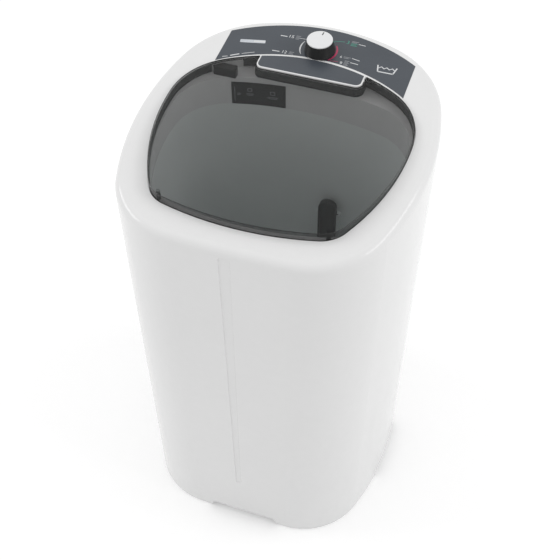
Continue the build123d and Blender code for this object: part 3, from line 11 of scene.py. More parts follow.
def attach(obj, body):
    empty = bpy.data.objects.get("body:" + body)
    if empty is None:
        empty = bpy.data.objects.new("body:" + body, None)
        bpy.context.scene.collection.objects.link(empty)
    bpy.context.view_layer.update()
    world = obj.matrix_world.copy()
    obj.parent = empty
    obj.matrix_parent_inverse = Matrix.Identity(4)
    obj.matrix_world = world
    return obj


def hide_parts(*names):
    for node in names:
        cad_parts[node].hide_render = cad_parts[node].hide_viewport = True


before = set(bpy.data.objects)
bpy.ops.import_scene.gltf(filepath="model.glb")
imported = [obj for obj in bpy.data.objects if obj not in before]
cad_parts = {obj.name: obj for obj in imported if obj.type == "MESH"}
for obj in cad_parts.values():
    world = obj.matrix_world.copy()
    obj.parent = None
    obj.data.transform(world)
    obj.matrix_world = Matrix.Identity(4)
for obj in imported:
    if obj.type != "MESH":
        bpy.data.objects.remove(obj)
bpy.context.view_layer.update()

MM = 0.001

# Sizes of the solids, in millimetres; slopes in radians
BACK_EDGE = 321.0
DECK_HEIGHT = 1010.0
DECK_SLOPE = np.radians(6.9)
LID_TOP_BACK = 1007.8
LID_SLOPE = np.radians(4.9)
OVERLAY = 0.4
KNOB_Y = 229.0
KNOB_TOP = 31.9
PLAQUE_THICKNESS = 1.2
SCREW_HEAD_RADIUS = 4.2

# Back and front walls of the cabinet: place of the middle at the floor and radius of the bow, and what the
# back's two gain up to the draft's height
BACK_FOOT, BACK_BOW = 307.0, 410.0
FRONT_FOOT, FRONT_BOW = -314.0, 2400.0
BACK_DRAFT, BACK_BOW_DRAFT = 15.2, 14.0
DRAFT_HEIGHT = 1040.0

# Printed marks lie a hair's breadth over what carries them
HAIR = 0.01
MARK_THICKNESS = 0.12
MARK_LOW = OVERLAY + HAIR
MARK_HIGH = MARK_LOW + MARK_THICKNESS

# How much the smoked lid covers over its depth in millimetres: in its plate, in its skirt with painted shade,
# and in its painted dark edge lines
LID_DEPTH = 30.0
LID_PLATE = 0.28
# Same plastic throughout: the skirt's higher cover is painted shade, and the edge lines' near-opaque cover is
# painted dark edges for refraction
LID_SKIRT_SHADE = 0.52
LID_EDGE_SHADE = 0.97

# Strength of the sky, tones of the floor for lighting and for the eye, the floor's own white and its reach in
# metres, and the point that the lamps look at
SKY_STRENGTH = 0.79
FLOOR_TONE = 0.84
SEEN_TONE = 0.8
SEEN_GLOW = 0.28
FLOOR_REACH = 14.0
LIT_POINT = (0, 0, 0.6)


# Camera, with the photograph's viewing angle
def make_camera():
    """Camera whose axes are the right, up and backward directions found from the outlines."""
    sensor_width, focal_length, reach = 36.0, 62.68, 50.0
    camera = bpy.data.objects.new("camera", bpy.data.cameras.new("camera"))
    bpy.context.scene.collection.objects.link(camera)
    camera.data.sensor_fit = "HORIZONTAL"
    camera.data.sensor_width = sensor_width
    camera.data.lens = focal_length
    camera.data.clip_end = reach
    right = Vector((0.94398, 0.32999, -0.00157))
    up = Vector((-0.24053, 0.69129, 0.68137))
    back = Vector((0.22593, -0.64282, 0.73194))
    place = (0.49449, -1.43198, 2.16064)
    turn = Matrix((right, up, back)).transposed().to_4x4()
    camera.matrix_world = Matrix.Translation(place) @ turn
    bpy.context.scene.camera = camera


make_camera()


# Node helpers
def new_material(name):
    """Node material with a Principled shader; gives the material, its nodes, links and shader."""
    material = bpy.data.materials.new(name)
    material.use_nodes = True
    nodes = material.node_tree.nodes
    return material, nodes, material.node_tree.links, nodes["Principled BSDF"]


def new_group(name, inputs, outputs):
    """Shader node group with named number, colour or vector inputs and outputs."""
    group = bpy.data.node_groups.new(name, "ShaderNodeTree")
    for label, kind, value in inputs:
        socket = group.interface.new_socket(label, in_out="INPUT", socket_type=kind)
        if value is not None:
            socket.default_value = value
    for label, kind in outputs:
        group.interface.new_socket(label, in_out="OUTPUT", socket_type=kind)
    return group, group.nodes, group.links


def number(nodes, links, operation, first, second, clamp=False):
    """Math node on two numbers or sockets; gives its output."""
    node = nodes.new("ShaderNodeMath")
    node.operation = operation
    node.use_clamp = clamp
    for socket, value in zip(node.inputs, (first, second)):
        if hasattr(value, "is_output"):
            links.new(value, socket)
        else:
            socket.default_value = value
    return node.outputs[0]


def noise(nodes, links, vector, scale, detail=2.0, rough=0.5):
    """Noise texture on a vector; gives its factor output."""
    node = nodes.new("ShaderNodeTexNoise")
    node.inputs["Detail"].default_value = detail
    node.inputs["Roughness"].default_value = rough
    if hasattr(scale, "is_output"):
        links.new(scale, node.inputs["Scale"])
    else:
        node.inputs["Scale"].default_value = scale
    links.new(vector, node.inputs["Vector"])
    return node.outputs["Fac"]


FLOAT, COLOUR, VECTOR = "NodeSocketFloat", "NodeSocketColor", "NodeSocketVector"


def make_tone_group():
    """Soft patches of a second tone: the share is broad noise with finer noise on it, sharpened."""
    finer, broad_share, fine_share, low, high = 17.0, 0.7, 0.3, 0.35, 0.65
    group, nodes, links = new_group(
        "tone_patches",
        [
            ("Vector", VECTOR, None),
            ("Size", FLOAT, 6.0),
            ("Tone", COLOUR, None),
            ("Second Tone", COLOUR, None),
            ("Low Roughness", FLOAT, 0.3),
            ("High Roughness", FLOAT, 0.4),
        ],
        [("Color", COLOUR), ("Roughness", FLOAT)],
    )
    source, result = nodes.new("NodeGroupInput"), nodes.new("NodeGroupOutput")
    broad = noise(nodes, links, source.outputs["Vector"], source.outputs["Size"], 3.0)
    fine_scale = number(nodes, links, "MULTIPLY", source.outputs["Size"], finer)
    fine = noise(nodes, links, source.outputs["Vector"], fine_scale, 2.0)
    broad_part = number(nodes, links, "MULTIPLY", broad, broad_share)
    fine_part = number(nodes, links, "MULTIPLY", fine, fine_share)
    both = number(nodes, links, "ADD", broad_part, fine_part)
    share = nodes.new("ShaderNodeMapRange")
    share.inputs["From Min"].default_value = low
    share.inputs["From Max"].default_value = high
    links.new(both, share.inputs["Value"])
    blend = nodes.new("ShaderNodeMix")
    blend.data_type = "RGBA"
    links.new(share.outputs[0], blend.inputs["Factor"])
    links.new(source.outputs["Tone"], blend.inputs["A"])
    links.new(source.outputs["Second Tone"], blend.inputs["B"])
    links.new(blend.outputs["Result"], result.inputs["Color"])
    rough = nodes.new("ShaderNodeMapRange")
    links.new(share.outputs[0], rough.inputs["Value"])
    links.new(source.outputs["Low Roughness"], rough.inputs["To Min"])
    links.new(source.outputs["High Roughness"], rough.inputs["To Max"])
    links.new(rough.outputs[0], result.inputs["Roughness"])
    return group


def make_grain_group():
    """Height of a moulded skin: fine noise over a long, low wave of the mould."""
    longer, wave_share = 0.02, 1.5
    group, nodes, links = new_group(
        "moulded_grain",
        [("Vector", VECTOR, None), ("Grain", FLOAT, 700.0), ("Depth", FLOAT, 1.0)],
        [("Height", FLOAT)],
    )
    source, result = nodes.new("NodeGroupInput"), nodes.new("NodeGroupOutput")
    fine = noise(nodes, links, source.outputs["Vector"], source.outputs["Grain"], 2.0)
    long_scale = number(nodes, links, "MULTIPLY", source.outputs["Grain"], longer)
    long_wave = noise(nodes, links, source.outputs["Vector"], long_scale, 1.0)
    height = number(nodes, links, "ADD", fine, number(nodes, links, "MULTIPLY", long_wave, wave_share))
    links.new(number(nodes, links, "MULTIPLY", height, source.outputs["Depth"]), result.inputs["Height"])
    return group


def make_brush_group():
    """Fine turned lines round the vertical axis: noise drawn out along X and Y, and left fine along Z."""
    drawn_out = 0.04
    group, nodes, links = new_group(
        "turned_lines",
        [("Vector", VECTOR, None), ("Lines", FLOAT, 900.0)],
        [("Height", FLOAT)],
    )
    source, result = nodes.new("NodeGroupInput"), nodes.new("NodeGroupOutput")
    stretch = nodes.new("ShaderNodeMapping")
    stretch.inputs["Scale"].default_value = (drawn_out, drawn_out, 1.0)
    links.new(source.outputs["Vector"], stretch.inputs["Vector"])
    lines = noise(nodes, links, stretch.outputs["Vector"], source.outputs["Lines"], 3.0)
    links.new(lines, result.inputs["Height"])
    return group


TONE_GROUP = make_tone_group()
GRAIN_GROUP = make_grain_group()
BRUSH_GROUP = make_brush_group()


def place_group(nodes, links, group, coordinates, **values):
    """Group node in a material, on the object's coordinates, with its own values."""
    node = nodes.new("ShaderNodeGroup")
    node.node_tree = group
    links.new(coordinates, node.inputs["Vector"])
    for label, value in values.items():
        node.inputs[label.replace("_", " ")].default_value = value
    return node


def finish_material(name, tone, second, rough, size=6.0, grain=700.0, depth=1.0, bump=0.05, **fixed):
    """Plastic, rubber or paint: two close tones in patches, uneven gloss and a grained skin."""
    material, nodes, links, shader = new_material(name)
    coordinates = nodes.new("ShaderNodeTexCoord").outputs["Object"]
    patches = place_group(
        nodes, links, TONE_GROUP, coordinates, Size=size, Tone=(*tone, 1), Second_Tone=(*second, 1),
        Low_Roughness=rough[0], High_Roughness=rough[1],
    )
    links.new(patches.outputs["Color"], shader.inputs["Base Color"])
    links.new(patches.outputs["Roughness"], shader.inputs["Roughness"])
    skin = place_group(nodes, links, GRAIN_GROUP, coordinates, Grain=grain, Depth=depth)
    relief = nodes.new("ShaderNodeBump")
    relief.inputs["Strength"].default_value = bump
    relief.inputs["Distance"].default_value = MM
    links.new(skin.outputs["Height"], relief.inputs["Height"])
    links.new(relief.outputs["Normal"], shader.inputs["Normal"])
    for label, value in fixed.items():
        shader.inputs[label.replace("_", " ")].default_value = value
    return material


def metal_material(name, tone, second, rough, lines=900.0, bump=0.08):
    """Turned or rolled metal: two tones and gloss that follow fine lines."""
    material = finish_material(name, tone, second, rough, size=30.0, bump=0.03, Metallic=1.0)
    nodes, links = material.node_tree.nodes, material.node_tree.links
    coordinates = nodes["Texture Coordinate"].outputs["Object"]
    brush = place_group(nodes, links, BRUSH_GROUP, coordinates, Lines=lines)
    relief = nodes["Bump"]
    links.new(brush.outputs["Height"], relief.inputs["Height"])
    relief.inputs["Strength"].default_value = bump
    return material


FINISHES = {
    "white_plastic": finish_material(
        "white_plastic", (0.815, 0.815, 0.815), (0.795, 0.795, 0.795), (0.13, 0.18), 3.0, 260.0, bump=0.004,
        Specular_IOR_Level=0.42),
    "tub_plastic": finish_material(
        "tub_plastic", (0.87, 0.905, 0.90), (0.85, 0.885, 0.88), (0.40, 0.50), 5.0),
    "smoked_plastic": finish_material(
        "smoked_plastic", (0.014, 0.015, 0.015), (0.012, 0.013, 0.013), (0.10, 0.16), 4.0, bump=0.01),
    "black_plastic": finish_material(
        "black_plastic", (0.011, 0.011, 0.011), (0.008, 0.008, 0.008), (0.36, 0.48), 20.0, bump=0.12),
    "overlay_film": finish_material(
        "overlay_film", (0.058, 0.068, 0.082), (0.052, 0.061, 0.074), (0.34, 0.42), 12.0, 1500.0, bump=0.04),
    "plaque": finish_material(
        "plaque", (0.022, 0.022, 0.022), (0.018, 0.018, 0.018), (0.42, 0.5), 14.0),
    "pale_plastic": finish_material(
        "pale_plastic", (0.81, 0.815, 0.825), (0.785, 0.79, 0.80), (0.30, 0.38), 9.0, Coat_Weight=0.1),
    "grey_plastic": finish_material(
        "grey_plastic", (0.30, 0.31, 0.32), (0.26, 0.27, 0.28), (0.42, 0.54), 12.0),
    "filter_net": finish_material(
        "filter_net", (0.020, 0.020, 0.021), (0.015, 0.015, 0.016), (0.5, 0.65), 40.0),
    "rubber": finish_material(
        "rubber", (0.020, 0.020, 0.021), (0.030, 0.030, 0.031), (0.62, 0.78), 30.0, 1200.0, bump=0.2),
    "bright_steel": metal_material(
        "bright_steel", (0.62, 0.62, 0.63), (0.54, 0.54, 0.55), (0.24, 0.36)),
    "cast_aluminium": finish_material(
        "cast_aluminium", (0.56, 0.57, 0.58), (0.48, 0.49, 0.50), (0.42, 0.58), 40.0, 500.0, bump=0.25,
        Metallic=1.0),
    "painted_steel": finish_material(
        "painted_steel", (0.42, 0.44, 0.46), (0.38, 0.40, 0.42), (0.38, 0.5), 16.0, 900.0, bump=0.1),
}

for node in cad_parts.values():
    for place in node.material_slots:
        place.material = FINISHES[place.material.name.split(".")[0]]
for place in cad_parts["filter_cap"].material_slots:
    place.material = FINISHES["black_plastic"]


def make_net_group():
    """Woven net: the share is 1 on a thread and 0 in a hole, from two crossed sets of stripes."""
    group, nodes, links = new_group(
        "woven_net",
        [("Vector", VECTOR, None), ("Pitch", FLOAT, 0.0016), ("Thread", FLOAT, 0.45)],
        [("Share", FLOAT), ("Height", FLOAT)],
    )
    source, result = nodes.new("NodeGroupInput"), nodes.new("NodeGroupOutput")
    split = nodes.new("ShaderNodeSeparateXYZ")
    links.new(source.outputs["Vector"], split.inputs[0])
    stripes = []
    for axis in ("X", "Z"):
        turns = number(nodes, links, "DIVIDE", split.outputs[axis], source.outputs["Pitch"])
        place_in_pitch = number(nodes, links, "FRACT", turns, 0.0)
        stripes.append(number(nodes, links, "LESS_THAN", place_in_pitch, source.outputs["Thread"]))
    share = number(nodes, links, "MAXIMUM", *stripes)
    links.new(share, result.inputs["Share"])
    links.new(number(nodes, links, "ADD", *stripes), result.inputs["Height"])
    return group


def finish_net():
    """The filter's net lets light through between its threads."""
    material = FINISHES["filter_net"]
    nodes, links = material.node_tree.nodes, material.node_tree.links
    coordinates = nodes["Texture Coordinate"].outputs["Object"]
    net = place_group(nodes, links, make_net_group(), coordinates)
    links.new(net.outputs["Share"], nodes["Principled BSDF"].inputs["Alpha"])
    links.new(net.outputs["Height"], nodes["Bump"].inputs["Height"])


finish_net()


def tint_lid():
    """The lid is clear in its plate and darker in its skirt, by the depth below the plate's sloping top.

    Each band has the depth in millimetres at which it starts, and how much it covers. The denser skirt is
    painted shade for the longer, slanting path through it. The near-opaque bands at the plate's rim and the
    skirt's foot are painted dark edges for the refraction there.
    """
    material = FINISHES["smoked_plastic"]
    nodes, links = material.node_tree.nodes, material.node_tree.links
    split = nodes.new("ShaderNodeSeparateXYZ")
    links.new(nodes["Texture Coordinate"].outputs["Object"], split.inputs[0])
    rise = number(nodes, links, "MULTIPLY", split.outputs["Y"], float(np.tan(LID_SLOPE)))
    back_top = (LID_TOP_BACK - np.tan(LID_SLOPE) * BACK_EDGE) * MM
    top = number(nodes, links, "ADD", rise, float(back_top))
    depth = number(nodes, links, "SUBTRACT", top, split.outputs["Z"])
    share = number(nodes, links, "DIVIDE", depth, LID_DEPTH * MM)
    ramp = nodes.new("ShaderNodeValToRGB")
    ramp.color_ramp.interpolation = "CONSTANT"
    # Bands of painted shade: a near-opaque line at the plate's rim, a denser skirt, and a near-opaque line at
    # the skirt's foot
    bands = ((0.0, LID_PLATE), (0.1, LID_EDGE_SHADE), (3.0, LID_PLATE), (3.45, LID_SKIRT_SHADE), (20.4, LID_EDGE_SHADE))
    for _ in bands[2:]:
        ramp.color_ramp.elements.new(0.5)
    for stop, (reach, cover) in zip(ramp.color_ramp.elements, bands):
        stop.position = reach / LID_DEPTH
        stop.color = (cover, cover, cover, 1)
    links.new(share, ramp.inputs["Fac"])
    links.new(ramp.outputs["Color"], nodes["Principled BSDF"].inputs["Alpha"])


tint_lid()

for name, tone, second in (
    ("mark_white", (0.72, 0.73, 0.74), (0.66, 0.67, 0.68)),
    ("mark_grey", (0.34, 0.35, 0.37), (0.29, 0.30, 0.32)),
    ("mark_red", (0.56, 0.045, 0.13), (0.49, 0.04, 0.11)),
    ("mark_green", (0.07, 0.33, 0.25), (0.06, 0.28, 0.21)),
    ("mark_silver", (0.62, 0.65, 0.69), (0.50, 0.53, 0.57)),
):
    FINISHES[name] = finish_material(name, tone, second, (0.38, 0.46), 40.0, 1500.0, bump=0.03)


# Mesh helpers: every surface is worked out as whole arrays of points
def add_piece(name, points, faces, finish, body, smooth=False):
    """Mesh piece from points in metres and its faces, with its finish, body and material slot."""
    mesh = bpy.data.meshes.new(name)
    mesh.from_pydata(np.asarray(points).reshape(-1, 3).tolist(), [], faces)
    mesh.update()
    mesh.materials.append(FINISHES[finish])
    mesh.polygons.foreach_set("use_smooth", np.full(len(mesh.polygons), smooth))
    piece = bpy.data.objects.new(name, mesh)
    bpy.context.scene.collection.objects.link(piece)
    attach(piece, body)
    return piece


def grid_quads(rows, columns, wrap=False, start=0):
    """Quads between neighbouring points of a grid, closed round its columns where wrap is true."""
    i = np.arange(rows - 1)[:, None]
    j = np.arange(columns if wrap else columns - 1)[None, :]
    after = (j + 1) % columns
    corners = np.broadcast_arrays(
        i * columns + j, i * columns + after, (i + 1) * columns + after, (i + 1) * columns + j
    )
    return (np.stack(corners, axis=-1).reshape(-1, 4) + start).tolist()


def on_deck(x, y, lift):
    """Point of the sloping deck over the plan place x, y, then lift millimetres along the deck's normal."""
    height = DECK_HEIGHT + np.tan(DECK_SLOPE) * (y - BACK_EDGE)
    return np.stack([x, y - np.sin(DECK_SLOPE) * lift, height + np.cos(DECK_SLOPE) * lift], axis=-1) * MM


def prism_piece(name, outlines, carry, low, high, finish, body):
    """Closed thin prisms: each outline, counter-clockwise, carried to a low and a high level of a surface."""
    points, faces, start = [], [], 0
    for outline in outlines:
        x, y = np.asarray(outline, float).T
        count = len(x)
        points.append(carry(x, y, np.full(count, low)))
        points.append(carry(x, y, np.full(count, high)))
        faces += grid_quads(2, count, wrap=True, start=start)
        faces.append(list(range(start + count - 1, start - 1, -1)))
        faces.append(list(range(start + count, start + 2 * count)))
        start += 2 * count
    add_piece(name, np.concatenate(points), faces, finish, body)


def bar_outline(x0, y0, x1, y1, width):
    """Straight bar with round ends: half circles of width about both ends of a line."""
    steps = 9
    turn = np.arctan2(y1 - y0, x1 - x0)
    half = np.linspace(-np.pi / 2, np.pi / 2, steps)
    ends = np.concatenate([half + turn, half + turn + np.pi])
    centre = np.repeat([[x1, y1], [x0, y0]], steps, axis=0)
    return centre + width / 2 * np.stack([np.cos(ends), np.sin(ends)], axis=1)


def arc_outline(centre, radius, start, end, width, end_share=1.0):
    """Band along an arc: its half width swells from end_share at both ends to the whole in the middle."""
    steps = 41
    turn = np.radians(np.linspace(start, end, steps))
    share = end_share + (1 - end_share) * np.sin(np.linspace(0, np.pi, steps))
    ray = np.stack([np.cos(turn), np.sin(turn)], axis=1)
    half = (width / 2 * share)[:, None]
    return np.concatenate([centre + (radius + half) * ray, (centre + (radius - half) * ray)[::-1]])


def rounded_rectangle(width, height, corner, centre=(0.0, 0.0), turn=0.0):
    """Counter-clockwise outline of four quarter circles, turned about its centre."""
    steps = 7
    quarter = np.linspace(0, np.pi / 2, steps)
    middles = np.array([[1, 1], [-1, 1], [-1, -1], [1, -1]]) * [width / 2 - corner, height / 2 - corner]
    angles = quarter[None, :] + np.arange(4)[:, None] * np.pi / 2
    points = middles[:, None, :] + corner * np.stack([np.cos(angles), np.sin(angles)], axis=-1)
    points = points.reshape(-1, 2)
    cos, sin = np.cos(turn), np.sin(turn)
    return points @ np.array([[cos, sin], [-sin, cos]]) + centre


def number_piece(name, marks, carry, low, finish, body):
    """Plain figures: each is flat text made a thin closed mesh, whose points are carried to a surface."""
    points, faces, start = [], [], 0
    for text, x, y, size in marks:
        figure = bpy.data.curves.new("figure", "FONT")
        figure.body = text
        figure.size = size
        figure.align_x = "CENTER"
        figure.align_y = "CENTER"
        figure.extrude = MARK_THICKNESS / 2
        figure.resolution_u = 3
        carrier = bpy.data.objects.new("figure", figure)
        mesh = bpy.data.meshes.new_from_object(carrier)
        flat = np.empty(len(mesh.vertices) * 3)
        mesh.vertices.foreach_get("co", flat)
        flat = flat.reshape(-1, 3)
        points.append(carry(flat[:, 0] + x, flat[:, 1] + y, flat[:, 2] + low + MARK_THICKNESS / 2))
        faces += [[index + start for index in face.vertices] for face in mesh.polygons]
        start += len(flat)
        bpy.data.objects.remove(carrier)
        bpy.data.meshes.remove(mesh)
        bpy.data.curves.remove(figure)
    add_piece(name, np.concatenate(points), faces, finish, body)


# Marks of the control panel
DIAL = np.array([-3.0, 234.0])
SCALE_RADIUS = 37.5
LABEL_TURN = np.radians(11.5)
WINDOW_LOW, WINDOW_HIGH = MARK_HIGH + HAIR, MARK_HIGH + 0.08


def film_marks(name, outlines, finish):
    """Printed marks on the panel's film from their plan outlines."""
    prism_piece(name, outlines, on_deck, MARK_LOW, MARK_HIGH, finish, "body")


def label_bars(x, y, length, count, pitch):
    """Rows of plain bars, each a pitch lower, and every second one a quarter shorter."""
    width, shorter = 1.3, 0.25
    rows = y - pitch * np.arange(count)
    ends = x + length * (1 - shorter * (np.arange(count) % 2))
    return [bar_outline(x, row, end, row, width) for row, end in zip(rows, ends)]


def panel_marks():
    """Plain bars, scales round the knob, figures and a label strip."""
    strip = [rounded_rectangle(54, 9.5, 2.0, (-145.5, 220.0), LABEL_TURN)]
    prism_piece("label_strip", strip, on_deck, MARK_LOW, MARK_HIGH, "mark_silver", "body")
    pale = [rounded_rectangle(24, 5.2, 1.2, (-131.5, 223.0), LABEL_TURN)]
    prism_piece("label_window", pale, on_deck, WINDOW_LOW, WINDOW_HIGH, "mark_white", "body")
    white = [
        bar_outline(-94, 254, -81, 254.6, 2.2),
        bar_outline(-96, 204.6, -82, 205.4, 2.2),
        bar_outline(72, 272, 86, 271, 1.6),
        bar_outline(71, 226.5, 87, 223.5, 1.6),
        bar_outline(71, 213.4, 87, 212.0, 1.6),
        bar_outline(-53, 256.6, -39, 257.0, 0.9),
        bar_outline(8.5, 193.2, 17.0, 193.9, 2.2),
        bar_outline(-190, 157.5, -181, 161.5, 1.5),
        bar_outline(-175, 165.6, -160, 174.4, 2.6),
        bar_outline(-154, 177.6, -131, 188.6, 1.3),
        arc_outline(DIAL, SCALE_RADIUS + 3, 156, 216, 3.2, 0.25),
    ]
    film_marks("panel_marks_white", white, "mark_white")
    red = [
        arc_outline(DIAL, SCALE_RADIUS, -44, 34, 4.0, 0.55),
        bar_outline(29, 207.4, 45, 209.2, 0.8),
    ]
    film_marks("panel_scale_red", red, "mark_red")
    green = [
        bar_outline(21, 268.5, 41, 271.5, 1.2),
        arc_outline(DIAL, SCALE_RADIUS + 1, 52, 74, 2.4, 0.6),
    ]
    film_marks("panel_scale_green", green, "mark_green")
    figures = [
        ("15", -72, 256.5, 13),
        ("12", -71, 206.5, 12),
        ("9", 52, 207, 12),
        ("6", 47, 225, 10),
        ("0", 3, 282, 9),
    ]
    number_piece("panel_figures", figures, on_deck, MARK_LOW, "mark_white", "body")
    figures = [("3", 48.5, 271.5, 14)]
    number_piece("panel_figure_green", figures, on_deck, MARK_LOW, "mark_green", "body")
    lines = (
        label_bars(-61.5, 262, 9, 4, 3.3)
        + label_bars(-60, 210.5, 9, 3, 3.3)
        + label_bars(58.5, 216, 9, 5, 3.3)
        + label_bars(53, 227, 14, 2, 3.3)
        + label_bars(56, 277.5, 14, 2, 3.2)
    )
    film_marks("panel_lines_grey", lines, "mark_grey")
    film_marks("panel_lines_green", label_bars(56, 271, 13, 3, 3.2), "mark_green")


panel_marks()


def wash_tub_sign():
    """Plain sign of a wash tub: a tapered basin in line work with a wave for its water."""
    centre = np.array([147.0, 213.0])
    line_width, steps = 2.8, 41
    wave_height, wave_swing, wave_length, wave_half = 4.0, 2.0, 11.3, 1.2
    basin = np.array([[-20, 9], [-16, -9], [16, -9], [20, 9]])
    lines = [bar_outline(*(basin[i] + centre), *(basin[i + 1] + centre), line_width) for i in range(3)]
    x = np.linspace(-17, 17, steps)
    wave = np.stack([x, wave_height + wave_swing * np.cos(x * 2 * np.pi / wave_length)], axis=1) + centre
    lines.append(np.concatenate([wave - [0, wave_half], (wave + [0, wave_half])[::-1]]))
    film_marks("wash_tub_sign", lines, "mark_white")


wash_tub_sign()


# Pointer on the knob's cap
def knob_pointer():
    """Dark bar near the cap's edge that points at the panel's figures."""
    low = KNOB_TOP + 2 * HAIR
    high = low + MARK_THICKNESS
    outlines = [bar_outline(0.8, KNOB_Y + 15.5, 1.6, KNOB_Y + 22.5, 2.2)]
    prism_piece("knob_pointer", outlines, on_deck, low, high, "black_plastic", "knob")


knob_pointer()


# Care plaque on the throat's back wall
def throat_outline(inset):
    """Back of the throat's plan and its corners, as arcs parallel to it, from right to left.

    A corner's arc touches the side's and the back's arcs, so its centre lies at the difference of their radii
    from both centres.
    """
    half_width, back, side_middle = 247.0, 152.0, 5.0
    side_bow, back_bow, corner = 470.0, 600.0, 118.0
    corner_steps, back_steps = 40, 80
    back_centre = np.array([0.0, back - back_bow])
    side_centre = np.array([half_width - side_bow, side_middle])
    span = side_centre - back_centre
    distance = np.linalg.norm(span)
    near, far = back_bow - corner, side_bow - corner
    along = (near**2 - far**2 + distance**2) / (2 * distance)
    across = np.sqrt(near**2 - along**2)
    unit = span / distance
    centres = back_centre + unit * along + np.array([[-unit[1], unit[0]], [unit[1], -unit[0]]]) * across
    corner_centre = centres[np.argmax(centres[:, 0])]
    first = np.arctan2(*(corner_centre - side_centre)[::-1])
    last = np.arctan2(*(corner_centre - back_centre)[::-1])
    turn = np.linspace(first, last, corner_steps)
    bend = corner_centre + (corner - inset) * np.stack([np.cos(turn), np.sin(turn)], axis=1)
    turn = np.linspace(last, np.pi / 2, back_steps)
    middle = back_centre + (back_bow - inset) * np.stack([np.cos(turn), np.sin(turn)], axis=1)
    right = np.concatenate([bend, middle])
    return np.concatenate([right, (right * [-1, 1])[::-1][1:]])


def on_plaque(x, z, lift):
    """Point of the bent plaque at x and height z: along the throat's arc, lifted towards the front."""
    line = throat_outline(PLAQUE_THICKNESS)
    order = np.argsort(line[:, 0])
    y = np.interp(x, line[order, 0], line[order, 1])
    return np.stack([x, y - lift, z], axis=-1) * MM


def plaque_signs():
    """Two line signs, a circle and a square, with plain bars under them and a long bar beside them."""
    circle_radius, steps, line_width, high = 4.6, 24, 1.3, 0.1
    turn = np.linspace(0, 2 * np.pi, steps + 1)[:-1]
    circle = circle_radius * np.stack([np.cos(turn), np.sin(turn)], axis=1) + [-123.5, 935.0]
    square = rounded_rectangle(9.0, 8.4, 1.6, (-75.5, 931.0))
    outlines = []
    for shape in (circle, square):
        closed = np.concatenate([shape, shape[:1]])
        outlines += [bar_outline(*closed[k], *closed[k + 1], line_width) for k in range(len(shape))]
    outlines += [
        bar_outline(-154.5, 906, -154.5, 941, 1.0),
        bar_outline(-149, 925, -142, 925, 1.4),
        bar_outline(-149, 921.5, -144, 921.5, 1.2),
        bar_outline(-131, 925, -116, 925, 1.4),
        bar_outline(-129, 921.5, -118, 921.5, 1.2),
        bar_outline(-87, 921, -64, 921, 1.4),
        bar_outline(-84, 917.5, -67, 917.5, 1.2),
    ]
    prism_piece("plaque_signs", outlines, on_plaque, HAIR, high, "mark_grey", "body")


plaque_signs()


# Recessed screw heads
def screw_heads(name, places, nodes):
    """Pan heads: a dome over radius and angle, sunk along two crossed bars, with its rim turned down."""
    head_height, dome_drop, recess = 2.4, 1.2, 1.3
    slot_half_width, slot_edge, slot_reach, slot_end = 0.42, 1.6, 2.5, 0.3
    share = np.array([0.0, 0.08, 0.16, 0.24, 0.32, 0.40, 0.48, 0.56, 0.64, 0.76, 0.88, 0.96, 1.0, 1.0])
    count = 48
    turn = np.linspace(0, 2 * np.pi, count + 1)[:-1]
    radius = SCREW_HEAD_RADIUS * share[:, None] * np.ones_like(turn)
    x, y = radius * np.cos(turn), radius * np.sin(turn)
    height = head_height - dome_drop * share[:, None] ** 4 + 0 * x
    near_axis = np.clip(slot_edge - np.minimum(np.abs(x), np.abs(y)) / slot_half_width, 0, 1)
    cross = near_axis * np.clip((slot_reach - radius) / slot_end, 0, 1)
    height = height - recess * cross
    height[-1] = 0.0
    points, faces, start = [], [], 0
    for origin, normal in places:
        normal = np.asarray(normal, float) / np.linalg.norm(normal)
        side = np.cross([0.0, 0.0, 1.0], normal) if abs(normal[2]) < 0.9 else np.array([1.0, 0.0, 0.0])
        side = side / np.linalg.norm(side)
        up = np.cross(normal, side)
        shape = np.asarray(origin) + x[..., None] * side + y[..., None] * up + height[..., None] * normal
        shape = shape.reshape(-1, 3)
        points.append(shape[count - 1:] * MM)
        rows = len(share) - 1
        faces += [[start, start + 1 + j, start + 1 + (j + 1) % count] for j in range(count)]
        faces += [[a, d, c, b] for a, b, c, d in grid_quads(rows, count, wrap=True, start=start + 1)]
        faces.append([start + 1 + (rows - 1) * count + j for j in range(count - 1, -1, -1)])
        start += 1 + rows * count
    piece = add_piece(name, np.concatenate(points), faces, "bright_steel", "body")
    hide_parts(*nodes)


def rear_screw_places():
    """Places and outward directions of the service cover's screws, on the drafted arc of the back."""
    columns, rows, proud = [-105.0, 0.0, 105.0], [157.0, 423.0], 0.4
    x, z = (part.ravel() for part in np.meshgrid(columns, rows))
    back = BACK_FOOT + BACK_DRAFT * z / DRAFT_HEIGHT
    bow = BACK_BOW + BACK_BOW_DRAFT * z / DRAFT_HEIGHT
    rise = np.sqrt(bow**2 - x**2)
    normal = np.stack([x, rise, 0 * x], axis=1) / bow[:, None]
    origin = np.stack([x, back - bow + rise, z], axis=1) + proud * normal
    return list(zip(origin, normal))


def base_screw_places():
    """Places of the base plate's screws, two at each of its four sides, whose heads look down."""
    middle, spread, side_place, inset, height = -12.0, 58.0, 267.0, 20.0, 23.0
    front = FRONT_FOOT + FRONT_BOW - np.sqrt(FRONT_BOW**2 - spread**2) + inset
    back = BACK_FOOT - BACK_BOW + np.sqrt(BACK_BOW**2 - spread**2) - inset
    plan = [(side * side_place, middle + turn * spread) for side in (-1, 1) for turn in (-1, 1)]
    plan += [(turn * spread, y) for turn in (-1, 1) for y in (front, back)]
    return [((x, y, height), (0, 0, -1)) for x, y in plan]


screw_heads("service_screws", rear_screw_places(), ("cover_screws",))
screw_heads("foot_plate_screws", base_screw_places(), ("base_screws",))


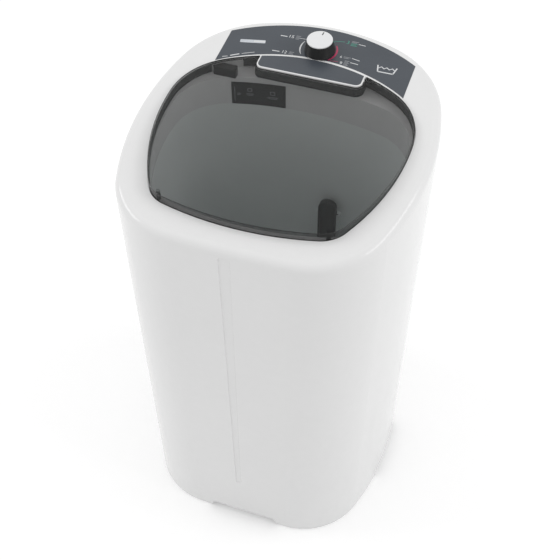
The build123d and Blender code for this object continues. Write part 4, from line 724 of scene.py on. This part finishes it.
# Floor, light and background
def seen_rays(nodes, links):
    """1 for camera, glossy and transmission rays, 0 for the rays that light the object."""
    rays = nodes.new("ShaderNodeLightPath").outputs
    mirror = number(nodes, links, "MAXIMUM", rays["Is Glossy Ray"], rays["Is Transmission Ray"])
    return number(nodes, links, "MAXIMUM", rays["Is Camera Ray"], mirror)


def make_world():
    """Even pale sky that lights the object, seen as plain white."""
    world = bpy.data.worlds.new("studio")
    bpy.context.scene.world = world
    world.use_nodes = True
    nodes, links = world.node_tree.nodes, world.node_tree.links
    sky = nodes["Background"]
    sky.inputs["Color"].default_value = (1, 1, 1, 1)
    sky.inputs["Strength"].default_value = SKY_STRENGTH
    white = nodes.new("ShaderNodeBackground")
    white.inputs["Color"].default_value = (1, 1, 1, 1)
    white.inputs["Strength"].default_value = 1.0
    choice = nodes.new("ShaderNodeMixShader")
    links.new(seen_rays(nodes, links), choice.inputs[0])
    links.new(sky.outputs[0], choice.inputs[1])
    links.new(white.outputs[0], choice.inputs[2])
    links.new(choice.outputs[0], nodes["World Output"].inputs["Surface"])


def make_floor():
    """Pale matt floor; where it is seen it gets a little of its own white, and keeps the shadow."""
    mesh = bpy.data.meshes.new("floor")
    corners = [(-FLOOR_REACH, -FLOOR_REACH, 0), (FLOOR_REACH, -FLOOR_REACH, 0)]
    corners += [(FLOOR_REACH, FLOOR_REACH, 0), (-FLOOR_REACH, FLOOR_REACH, 0)]
    mesh.from_pydata(corners, [], [(0, 1, 2, 3)])
    floor = bpy.data.objects.new("floor", mesh)
    bpy.context.scene.collection.objects.link(floor)
    material, nodes, links, shader = new_material("pale_floor")
    mesh.materials.append(material)
    nodes.remove(shader)
    matt = nodes.new("ShaderNodeBsdfDiffuse")
    matt.inputs["Color"].default_value = (FLOOR_TONE, FLOOR_TONE, FLOOR_TONE, 1)
    dim = nodes.new("ShaderNodeBsdfDiffuse")
    dim.inputs["Color"].default_value = (SEEN_TONE, SEEN_TONE, SEEN_TONE, 1)
    glow = nodes.new("ShaderNodeEmission")
    glow.inputs["Strength"].default_value = SEEN_GLOW
    both = nodes.new("ShaderNodeAddShader")
    links.new(dim.outputs[0], both.inputs[0])
    links.new(glow.outputs[0], both.inputs[1])
    choice = nodes.new("ShaderNodeMixShader")
    links.new(seen_rays(nodes, links), choice.inputs[0])
    links.new(matt.outputs[0], choice.inputs[1])
    links.new(both.outputs[0], choice.inputs[2])
    links.new(choice.outputs[0], nodes["Material Output"].inputs["Surface"])


def make_lamp(name, place, target, width, height, power):
    """Soft box at a place, turned to its target."""
    light = bpy.data.lights.new(name, "AREA")
    light.shape = "RECTANGLE"
    light.size = width
    light.size_y = height
    light.energy = power
    lamp = bpy.data.objects.new(name, light)
    bpy.context.scene.collection.objects.link(lamp)
    lamp.location = place
    lamp.rotation_euler = (Vector(target) - Vector(place)).to_track_quat("-Z", "Y").to_euler()


bpy.context.scene.view_settings.view_transform = "Standard"
make_world()
make_floor()
make_lamp("key", place=(3.5, 0.5, 3.3), target=LIT_POINT, width=3.2, height=1.2, power=38)
make_lamp("fill", place=(-3.6, -0.6, 2.9), target=LIT_POINT, width=2.6, height=1.1, power=32)
